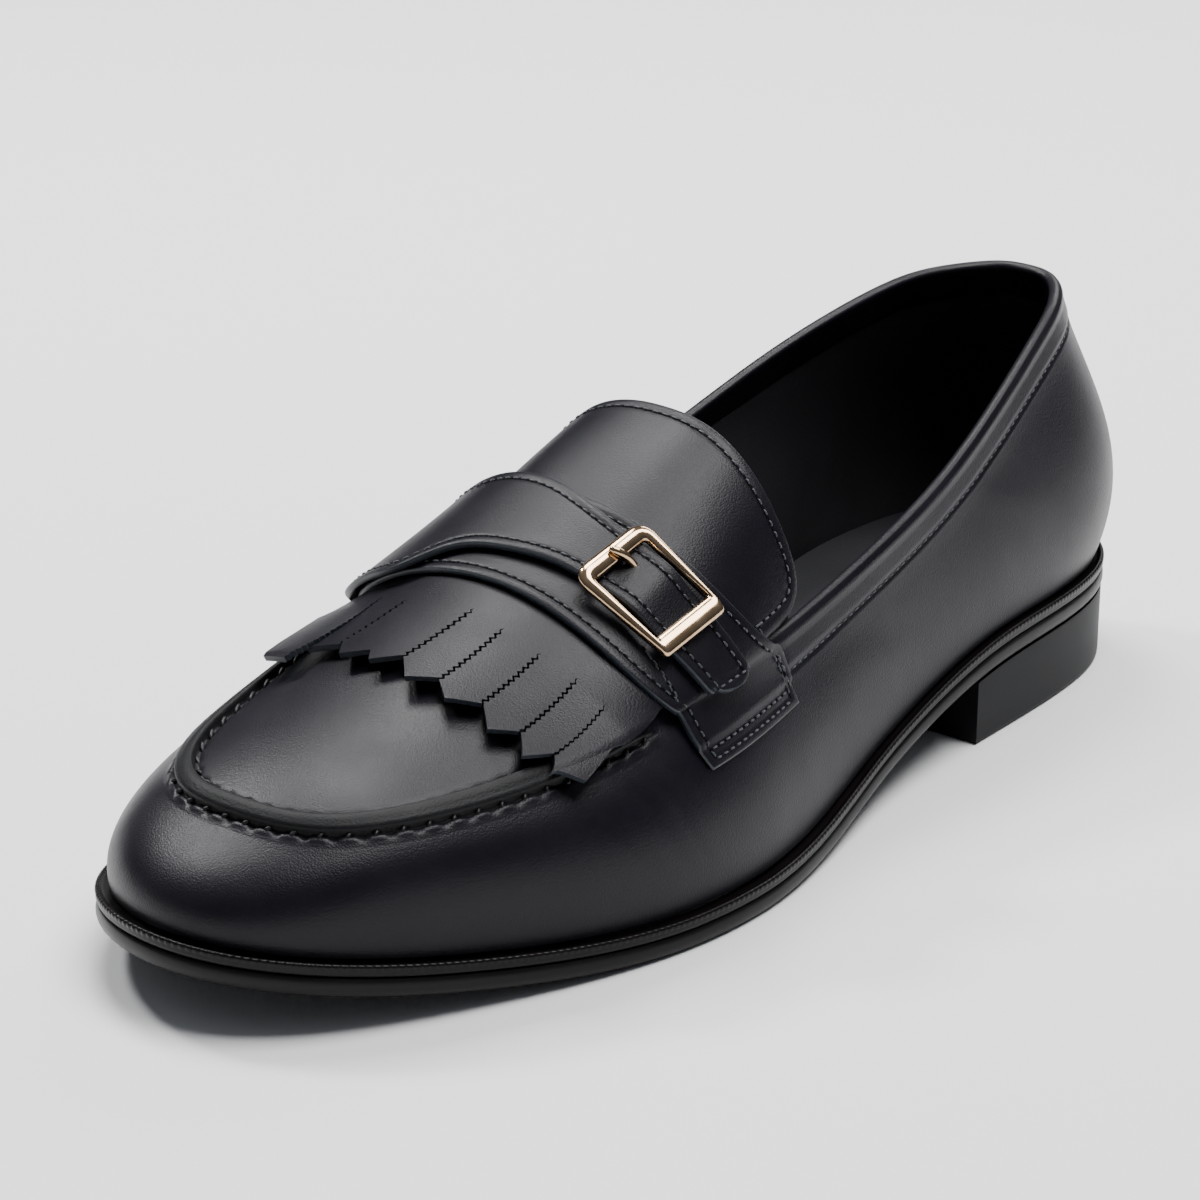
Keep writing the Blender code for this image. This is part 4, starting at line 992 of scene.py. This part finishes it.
places, tops, bottoms, faces = [], [], [], []
share = np.linspace(0.0, 1.0, CUT_ROWS + 1)[1:]
root_share = np.linspace(0.0, 1.0, ROOT_ROWS + 1)
for k, (top_s, top_a, up_s, up_a, left_s, left_a, right_s, right_a, curl, opened) in enumerate(STRIPS):
    before_top = MEDIAL_EDGE[1] if k == 0 else STRIPS[k - 1][:2]
    left_root = (KILTIE_ROOT, MEDIAL_EDGE[0][1] if k == 0 else before_top[1])
    root_l = [start + (end - start) * root_share for start, end in zip(left_root, before_top)]
    root_r = [KILTIE_ROOT + (top_s - KILTIE_ROOT) * root_share, np.full(ROOT_ROWS + 1, top_a)]
    cut = np.clip(share / CORNER_SHARE, 0.0, 1.0)
    rest = np.clip((share - CORNER_SHARE) / (1 - CORNER_SHARE), 0.0, 1.0)
    cut_left = 0.0 if k == 0 else STRIPS[k - 1][-1]
    left = pinked(before_top, (up_s, up_a), cut, CUT_GAP, cut_left)
    left = left[0] + (left_s - up_s) * rest, left[1] + (left_a - up_a - CUT_GAP * cut_left) * rest
    right = pinked((top_s, top_a), (right_s, right_a), share, -CUT_GAP, opened * (k < len(STRIPS) - 1))
    left_line = np.stack([np.concatenate([root_l[i], left[i]]) for i in (0, 1)], 1)
    right_line = np.stack([np.concatenate([root_r[i], right[i]]) for i in (0, 1)], 1)
    blend = np.linspace(0.0, 1.0, STRIP_COLUMNS)[None, :, None]
    grid = left_line[:, None] * (1 - blend) + right_line[:, None] * blend
    free = fade(grid[..., 0], *CURL_STATIONS)
    over_ridge = fade(np.abs(grid[..., 1]), *RIDGE_CROSSING) * fade(grid[..., 0], *RIDGE_STATIONS)
    height = KILTIE_LIFT[0] + curl * free ** CURL_POWER + RIDGE_HEIGHT * over_ridge
    flat = grid.reshape(-1, 2)
    faces += grid_faces(grid.shape[0], STRIP_COLUMNS, start=sum(len(part) for part in places))
    places.append(flat)
    bottoms.append(lifted(flat[:, 0], flat[:, 1], height.ravel()))
    tops.append(lifted(flat[:, 0], flat[:, 1], height.ravel() + KILTIE_LIFT[1] - KILTIE_LIFT[0]))
# One mesh of all strips: equal places are joined, then the open edges get a rim
same, index = np.unique(np.concatenate(places).round(4), axis=0, return_inverse=True)
index = index.ravel()
count = len(same)
top, bottom = np.zeros((count, 3)), np.zeros((count, 3))
top[index], bottom[index] = np.concatenate(tops), np.concatenate(bottoms)
faces = [list(dict.fromkeys(index[face].tolist())) for face in faces]
faces = [face for face in faces if len(face) > 2]
sides = dict.fromkeys((a, b) for face in faces for a, b in zip(face, face[1:] + face[:1]))
rim = [(a, b) for a, b in sides if (b, a) not in sides]
slots = [0] * (2 * len(faces)) + [1] * len(rim)
faces += [[count + k for k in face[::-1]] for face in faces]
faces += [(b, a, count + a, count + b) for a, b in rim]
make_piece("kiltie_fringe", np.concatenate([top, bottom]), faces, [box_calf, edge_paint], slots, sharp=45.0,
           stands_for=["kiltie"])

# Saddle. A calf strap across the instep over tongue and kiltie. Its outer layer stops
# short of an under layer at each end, and both are stitched down to the upper there.
SADDLE_LIFT = (2.0, 3.4)
SADDLE_END_LIFT = 0.4
SADDLE_DROP = (0.84, 1.18)
TAB_STEP = (1.205, 1.225)
TAB_DROP = 0.75
SADDLE_INSET = 2.5
# Shares across between which the long seams run, and the places of the two rows at each end
SADDLE_SEWN = (-1.26, 1.3)
END_SEAMS = (1.245, 1.3)
END_SEAM_STATIONS = (163.8, 193.6)
# across, back edge, front edge
SADDLE_ROWS = [
    (-1.32, 163.8, 196.8),
    (-1.12, 162.8, 198.2),
    (-0.9, 167.0, 200.0),
    (-0.7, 172.8, 203.4),
    (-0.5, 176.9, 205.4),
    (-0.25, 179.0, 206.2),
    (0.0, 179.4, 206.2),
    (0.25, 179.0, 206.2),
    (0.5, 176.9, 205.4),
    (0.7, 172.8, 203.4),
    (0.9, 166.2, 200.2),
    (1.0, 162.9, 198.9),
    (1.14, 161.3, 198.2),
    (1.24, 161.0, 197.2),
    (1.345, 160.4, 195.6),
]


def saddle_low(across):
    share = fade(np.abs(across), *SADDLE_DROP)
    return SADDLE_LIFT[0] + (SADDLE_END_LIFT - SADDLE_LIFT[0]) * share ** 2 * (3 - 2 * share)


def saddle_high(across):
    step = TAB_DROP * fade(np.abs(across), *TAB_STEP)
    return saddle_low(across) + SADDLE_LIFT[1] - SADDLE_LIFT[0] - step


stations, across = band_grid(SADDLE_ROWS)
leather_sheet("saddle_leather", stations, across, saddle_low(across), saddle_high(across),
              box_calf, edge_paint, ["saddle"], seam=SADDLE_INSET)
# Stitch lines inside the back and the front edge, then two rows across each end
saddle_rows = np.array(SADDLE_ROWS)
dense = np.linspace(*SADDLE_SEWN, 240)
edges = spline(saddle_rows[:, 0], saddle_rows[:, 1:], dense)
lines = [inset_path(edges[:, k], dense, SADDLE_INSET, side) for k, side in ((0, -1.0), (1, 1.0))]
for end in (-1.0, 1.0):
    for share in END_SEAMS:
        lines.append((np.linspace(*END_SEAM_STATIONS, 60), np.full(60, end * share)))
stitches("saddle_stitches", [seam(*line, saddle_high) for line in lines])

# Buckle strap. A calf strap from the inner side over the saddle, through the buckle, with
# a round tip. It bends up over the buckle's hidden centre bar, and is stitched all round.
STRAP_LIFT = (4.0, 5.5)
STRAP_INSET = 2.4
HUMP = (0.43, 0.085, 1.3)
TIP_START = 0.92
TIP_END = 1.055
TIP_POWER = 2.3
TIP_STATION = 184.5
# Length of one share across at the strap's root in mm, and the width under which rim rows close up
STRAP_HALF_SPAN = 50.0
NARROW_STRAP = 10.5
# across, back edge, front edge
STRAP_ROWS = [
    (-1.1, 162.6, 198.8),
    (-0.9, 166.8, 202.0),
    (-0.7, 172.4, 205.4),
    (-0.5, 176.0, 207.6),
    (-0.36, 177.0, 207.4),
    (-0.24, 177.6, 202.4),
    (-0.05, 179.4, 199.2),
    (0.15, 182.4, 197.6),
    (0.35, 183.4, 196.8),
    (0.6, 182.0, 195.2),
    (0.84, 179.0, 192.4),
    (1.06, 177.2, 190.6),
]


def strap_edges(across, inset=0.0):
    """Back and front edge of the strap, or lines inside them, closing in a half round at the tip."""
    rows = np.asarray(STRAP_ROWS, float)
    edges = spline(rows[:, 0], rows[:, 1:], across)
    forward, aside = skin_frame(edges.mean(axis=1), across)[:2]
    middle = edges.mean(axis=1, keepdims=True)
    half = (edges - middle) - np.array([-1.0, 1.0]) * inset / np.linalg.norm(forward, axis=1)[:, None]
    tip_end = TIP_END - inset / np.linalg.norm(aside, axis=1)
    closed = fade((across - TIP_START) / (tip_end - TIP_START), 0.0, 1.0)
    close = np.clip(1 - closed ** TIP_POWER, 0.0, None)
    return middle + half * close[:, None] ** (1 / TIP_POWER)


def strap_high(across):
    drop = (SADDLE_LIFT[0] - SADDLE_END_LIFT) * fade(-across, *SADDLE_DROP)
    return STRAP_LIFT[1] - drop + HUMP[2] * bell(across, HUMP[0], HUMP[1])


tip = TIP_START + (TIP_END - TIP_START) * np.sin(np.linspace(0.0, np.pi / 2, 22))[1:]
shares = np.concatenate([STRAP_ROWS[0][0] + np.array(NEAR_EDGE) / STRAP_HALF_SPAN,
                         np.arange(-1.0, TIP_START, 0.02), tip])
shares = np.unique(shares.round(5))
stations = strip_rows(strap_edges(shares), np.array(NEAR_EDGE + [4.6]), NARROW_STRAP, 4)
across = np.repeat(shares[:, None], stations.shape[1], 1)
high = strap_high(across)
leather_sheet("buckle_strap_leather", stations, across, high - (STRAP_LIFT[1] - STRAP_LIFT[0]), high,
              box_calf, edge_paint, ["buckle_strap"], seam=STRAP_INSET)
# One seam up the back edge, round the tip and down the front edge
inset_end = TIP_END - STRAP_INSET / np.linalg.norm(skin_frame(np.array([TIP_STATION]), TIP_END - 0.06)[1])
around_tip = TIP_START + (inset_end - TIP_START) * np.sin(np.linspace(0.0, np.pi / 2, 60))[1:]
along = np.concatenate([np.linspace(-1.05, TIP_START, 260), around_tip])
outline = strap_edges(along, STRAP_INSET)
stitches("strap_stitches", [seam(np.concatenate([outline[:, 0], outline[::-1, 1]]),
                                 np.concatenate([along, along[::-1]]), strap_high)])

# Buckle. A cast frame, polished and plated in pale champagne gold: a thick round bar on
# the strap's side, flanks that thin towards a broad flat bar, and a short prong.
BUCKLE_CORNERS = [(0.27, 181.6), (0.27, 199.0), (0.62, 197.2), (0.62, 180.4)]
BUCKLE_LIFT = 5.7
# Outline in the frame's own plane, x to the strap's tip and y to the heel: each corner's outer
# place, inner place, outer and inner radius, and how square the bar after it is
FRAME_CORNERS = [
    ((-12.5, 11.2), (-8.4, 7.8), 5.0, 0.8, 1.8),
    ((-12.5, -11.2), (-8.2, -7.6), 5.2, 0.8, 1.75),
    ((13.1, -9.7), (8.4, -8.2), 1.3, 0.6, 2.2),
    ((13.1, 8.8), (8.4, 7.9), 1.6, 0.6, 1.9),
]
FRAME_THICK = 2.7
CORNER_STEPS = 11
BAR_STEPS = 14
FRAME_SIDES = 20
PRONG_RADIUS = 0.95
PRONG_RINGS = 30
PRONG_SIDES = 14
# Rings over which the prong's tip rounds off
PRONG_TIP = (25.0, 29.4)
# Prong from under the strap to its tip: x, y and height over the frame's underside
PRONG_LINE = [(-4.4, 2.6, -0.6), (-6.2, 1.7, 0.9), (-7.6, 0.9, 2.3), (-9.2, -0.1, 3.3), (-11.2, -1.1, 3.2)]

# Polished champagne gold plate: clear warm reflections, hardly blurred, worn a little softer in spots
champagne, tree, shader, place = new_material("polished_champagne_gold_plate", "#e6cdb0", 0.1, Metallic=1.0)
wear = add(tree, "ShaderNodeTexNoise", links={"Vector": place},
           values={"Scale": 1 / (3.0 * MM), "Detail": 5.0})
dress(tree, shader, wear.outputs[0], 0.15, 0.1, wear, ("#b8946f", "#d6bb99"), (0.06, 0.2))

places = np.array([lifted(np.array([s]), a, BUCKLE_LIFT)[0] for a, s in BUCKLE_CORNERS])
buckle_centre = places.mean(axis=0)
buckle_up = np.linalg.svd(places - buckle_centre)[2][2]
buckle_up *= np.sign(buckle_up[2])
buckle_x = places[2] + places[3] - places[0] - places[1]
buckle_x -= buckle_up * (buckle_x @ buckle_up)
buckle_x = unit(buckle_x)
buckle_y = np.cross(buckle_up, buckle_x)


def on_buckle(x, y, height):
    return buckle_centre + buckle_x * x + buckle_y * y + buckle_up * height


def frame_line(places, radii):
    """A line round the frame: each rounded corner, then the straight bar to the next one."""
    places = np.array(places, float)
    t = np.linspace(0.0, 1.0, CORNER_STEPS)[:, None]
    arcs = []
    for before, here, after, radius in zip(np.roll(places, 1, 0), places, np.roll(places, -1, 0), radii):
        one, two = here + unit(before - here) * radius, here + unit(after - here) * radius
        arcs.append(one * (1 - t) ** 2 + here * 2 * t * (1 - t) + two * t ** 2)
    t = np.linspace(0.0, 1.0, BAR_STEPS + 2)[1:-1, None]
    bars = [arc[-1] * (1 - t) + after[0] * t for arc, after in zip(arcs, arcs[1:] + arcs[:1])]
    return np.concatenate([part for pair in zip(arcs, bars) for part in pair])


outer, inner, outer_radii, inner_radii, powers = zip(*FRAME_CORNERS)
outer_line, inner_line = frame_line(outer, outer_radii), frame_line(inner, inner_radii)
square = [np.append(np.linspace(powers[k - 1], power, CORNER_STEPS), [power] * BAR_STEPS)
          for k, power in enumerate(powers)]
square = np.concatenate(square)
rings = []
for turn in np.linspace(0.0, 2 * np.pi, FRAME_SIDES + 1)[:-1]:
    x = np.sign(math.cos(turn)) * abs(math.cos(turn)) ** (2 / square)
    y = np.sign(math.sin(turn)) * abs(math.sin(turn)) ** (2 / square)
    flat = (outer_line + inner_line) / 2 + (outer_line - inner_line) / 2 * x[:, None]
    rings.append(on_buckle(flat[:, :1], flat[:, 1:], ((y + 1) * FRAME_THICK / 2)[:, None]))
faces = ring_faces(FRAME_SIDES, len(square), closed=True)
make_piece("buckle_frame_metal", np.concatenate(rings), faces, [champagne], sharp=75.0,
           stands_for=["buckle_frame"])

line = np.array(PRONG_LINE)
line = spline(np.linspace(0.0, 1.0, len(line)), line, np.linspace(0.0, 1.0, PRONG_RINGS))
path = on_buckle(line[:, :1], line[:, 1:2], line[:, 2:])
along = unit(np.gradient(path, axis=0))
side = unit(np.cross(buckle_up, along))
over = np.cross(along, side)
thick = PRONG_RADIUS * np.sqrt(np.clip(1 - fade(np.arange(PRONG_RINGS), *PRONG_TIP) ** 2, 0.05, None))
angle = (np.arange(PRONG_SIDES) * 2 * np.pi / PRONG_SIDES)[None, :, None]
circle = side[:, None] * np.cos(angle) + over[:, None] * np.sin(angle)
points = path[:, None] + circle * thick[:, None, None]
faces = ring_faces(PRONG_RINGS, PRONG_SIDES)
faces += [list(range(start, start + PRONG_SIDES)) for start in (0, (PRONG_RINGS - 1) * PRONG_SIDES)]
make_piece("buckle_prong_metal", points.reshape(-1, 3), faces, [champagne], sharp=70.0,
           stands_for=["buckle_prong"])

# Seams of the upper. The collar band is topstitched by machine; the apron is sewn by
# hand, and its thick waxed stitches lie along both foot lines of the ridge.
# Distances of the seams from the top edge, and the height of the ridge where the sewing starts
COLLAR_SEAM = 7.5
APRON_SEAM = 1.0
SEWN_FROM = 0.6
COLLAR_THREAD = 0.4
# Waxed thread: its width, then length, depth and turn of the stitches outside and inside the ridge
WHIP_THREAD = 0.95
WHIP_LENGTH, WHIP_SINK, WHIP_TURN = 2.1, 0.1, 0.95
FOOT_LENGTH, FOOT_SINK, FOOT_TURN = APRON_PITCH * 0.66, 0.1, 0.3
INNER_ROW = 14
# Waxed linen: thick black thread, smooth and slightly shiny with wax
waxed_thread, tree, shader, place = new_material("black_waxed_linen_thread", "#0a0a0c", 0.46,
                                                 Coat_Weight=0.06, Coat_Roughness=0.3,
                                                 Specular_IOR_Level=0.25)
strand = add(tree, "ShaderNodeTexNoise", links={"Vector": place},
             values={"Scale": 1 / (0.5 * MM), "Detail": 3.0})
dress(tree, shader, strand.outputs[0], 0.6, 0.12, strand, ("#050506", "#131418"))


def grid_seam(line, normals, start, pitch):
    """Stitch places along a line of grid points."""
    length = run_along(line)
    at = np.arange(start, length[-1], pitch)
    ahead = picked(at + 0.5, length, line) - picked(at - 0.5, length, line)
    return picked(at, length, line), unit(ahead), unit(picked(at, length, normals))


rows_down = {down: wall_points.shape[1] - len(near_top) + int(np.abs(near_top - down).argmin())
             for down in (COLLAR_SEAM, APRON_SEAM)}
row = rows_down[COLLAR_SEAM]
collar_seam = grid_seam(wall_points[collar, row], wall_normal[collar, row], 1.0, THREAD_PITCH)
stitches("collar_stitches", [collar_seam], width=COLLAR_THREAD)
sewn = np.flatnonzero(roll > SEWN_FROM)
row = rows_down[APRON_SEAM]
outer_seam = grid_seam(wall_points[sewn, row], wall_normal[sewn, row], 0.0, APRON_PITCH)
stitches("apron_whip_stitches", [outer_seam], WHIP_LENGTH, WHIP_THREAD, WHIP_SINK, WHIP_TURN, waxed_thread)
inner_line = np.concatenate([vamp_rows[sewn[sewn <= last] - first, INNER_ROW],
                             vamp_rows[len(wall_points) - sewn[sewn > last] - first, -1 - INNER_ROW]])
inner_seam = grid_seam(inner_line, np.tile([0.0, 0.0, 1.0], (len(sewn), 1)), 0.0, APRON_PITCH)
stitches("apron_foot_stitches", [inner_seam], FOOT_LENGTH, WHIP_THREAD, FOOT_SINK, FOOT_TURN, waxed_thread)

# Studio. The floor is a plain painted sheet far wider than the shoe, lit by soft panels and the
# even light of the room. The camera stands at the photograph's angle.
floor_mesh = bpy.data.meshes.new("floor")
FLOOR_HALF = 4.0
corners = [(x * FLOOR_HALF, y * FLOOR_HALF, 0.0) for x, y in ((-1, -1), (1, -1), (1, 1), (-1, 1))]
floor_mesh.from_pydata(corners, [], [(0, 1, 2, 3)])
floor = bpy.data.objects.new("floor", floor_mesh)
bpy.context.scene.collection.objects.link(floor)
# Painted floor: matt off-white
floor_paint, tree, shader, place = new_material("matt_white_floor_paint", "#f2f2f2", 0.8)
roller = add(tree, "ShaderNodeTexNoise", links={"Vector": place},
             values={"Scale": 1 / (2.0 * MM), "Detail": 2.0})
dress(tree, shader, roller.outputs[0], 0.05, 0.05)
floor_mesh.materials.append(floor_paint)

# Even room light, dimmer towards the horizon
WORLD_STRENGTH = 0.3
world = bpy.data.worlds.new("studio")
bpy.context.scene.world = world
world.use_nodes = True
sky = world.node_tree
toward = add(sky, "ShaderNodeTexCoord")
height = add(sky, "ShaderNodeSeparateXYZ", links={"Vector": toward.outputs["Generated"]})
share = add(sky, "ShaderNodeMapRange", links={"Value": height.outputs["Z"]},
            values={"From Min": 0.0, "From Max": 0.9})
colours = add(sky, "ShaderNodeMix", {"data_type": "RGBA"}, {0: share.outputs[0]},
              {6: linear("#6a6e77"), 7: linear("#dfe4ee")})
sky.links.new(colours.outputs[2], sky.nodes["Background"].inputs[0])
sky.nodes["Background"].inputs[1].default_value = WORLD_STRENGTH

# Light panels: place in metres, width, height, power in watts
PANELS = {
    "key_panel": ((-0.6, 0.38, 1.35), 0.45, 0.45, 15.0),
    "back_panel": ((-0.3, 1.4, 1.0), 0.9, 0.4, 9.0),
    "left_panel": ((-1.02, -0.03, 1.13), 0.22, 0.22, 13.0),
    "top_panel": ((0.5, 0.4, 2.4), 1.4, 1.4, 84.0),
}
AIM = (0.0, 0.0, 0.04)
for name, (spot, wide, tall, power) in PANELS.items():
    light = bpy.data.lights.new(name, "AREA")
    light.shape = "RECTANGLE"
    light.size = wide
    light.size_y = tall
    light.energy = power
    item = bpy.data.objects.new(name, light)
    item.location = spot
    item.rotation_euler = (Vector(AIM) - Vector(spot)).to_track_quat("-Z", "Y").to_euler()
    bpy.context.scene.collection.objects.link(item)

# Camera read from the photograph: place in metres, direction of view, roll and lens
CAMERA_PLACE = Vector((0.48725, -0.63215, 0.3353))
CAMERA_LOOKS = Vector((-0.5873, 0.7329, -0.3435)).normalized()
CAMERA_ROLL = math.radians(0.64)
camera = bpy.data.cameras.new("camera")
camera.lens = 121.05
camera.sensor_width = 36.0
camera.clip_start = 0.05
view = bpy.data.objects.new("camera", camera)
level_right = CAMERA_LOOKS.cross(Vector((0, 0, 1))).normalized()
level_up = level_right.cross(CAMERA_LOOKS)
right = level_right * math.cos(CAMERA_ROLL) + level_up * math.sin(CAMERA_ROLL)
up = level_up * math.cos(CAMERA_ROLL) - level_right * math.sin(CAMERA_ROLL)
turned = Matrix((right, up, -CAMERA_LOOKS)).transposed().to_4x4()
view.matrix_world = Matrix.Translation(CAMERA_PLACE) @ turned
bpy.context.scene.collection.objects.link(view)
bpy.context.scene.camera = view
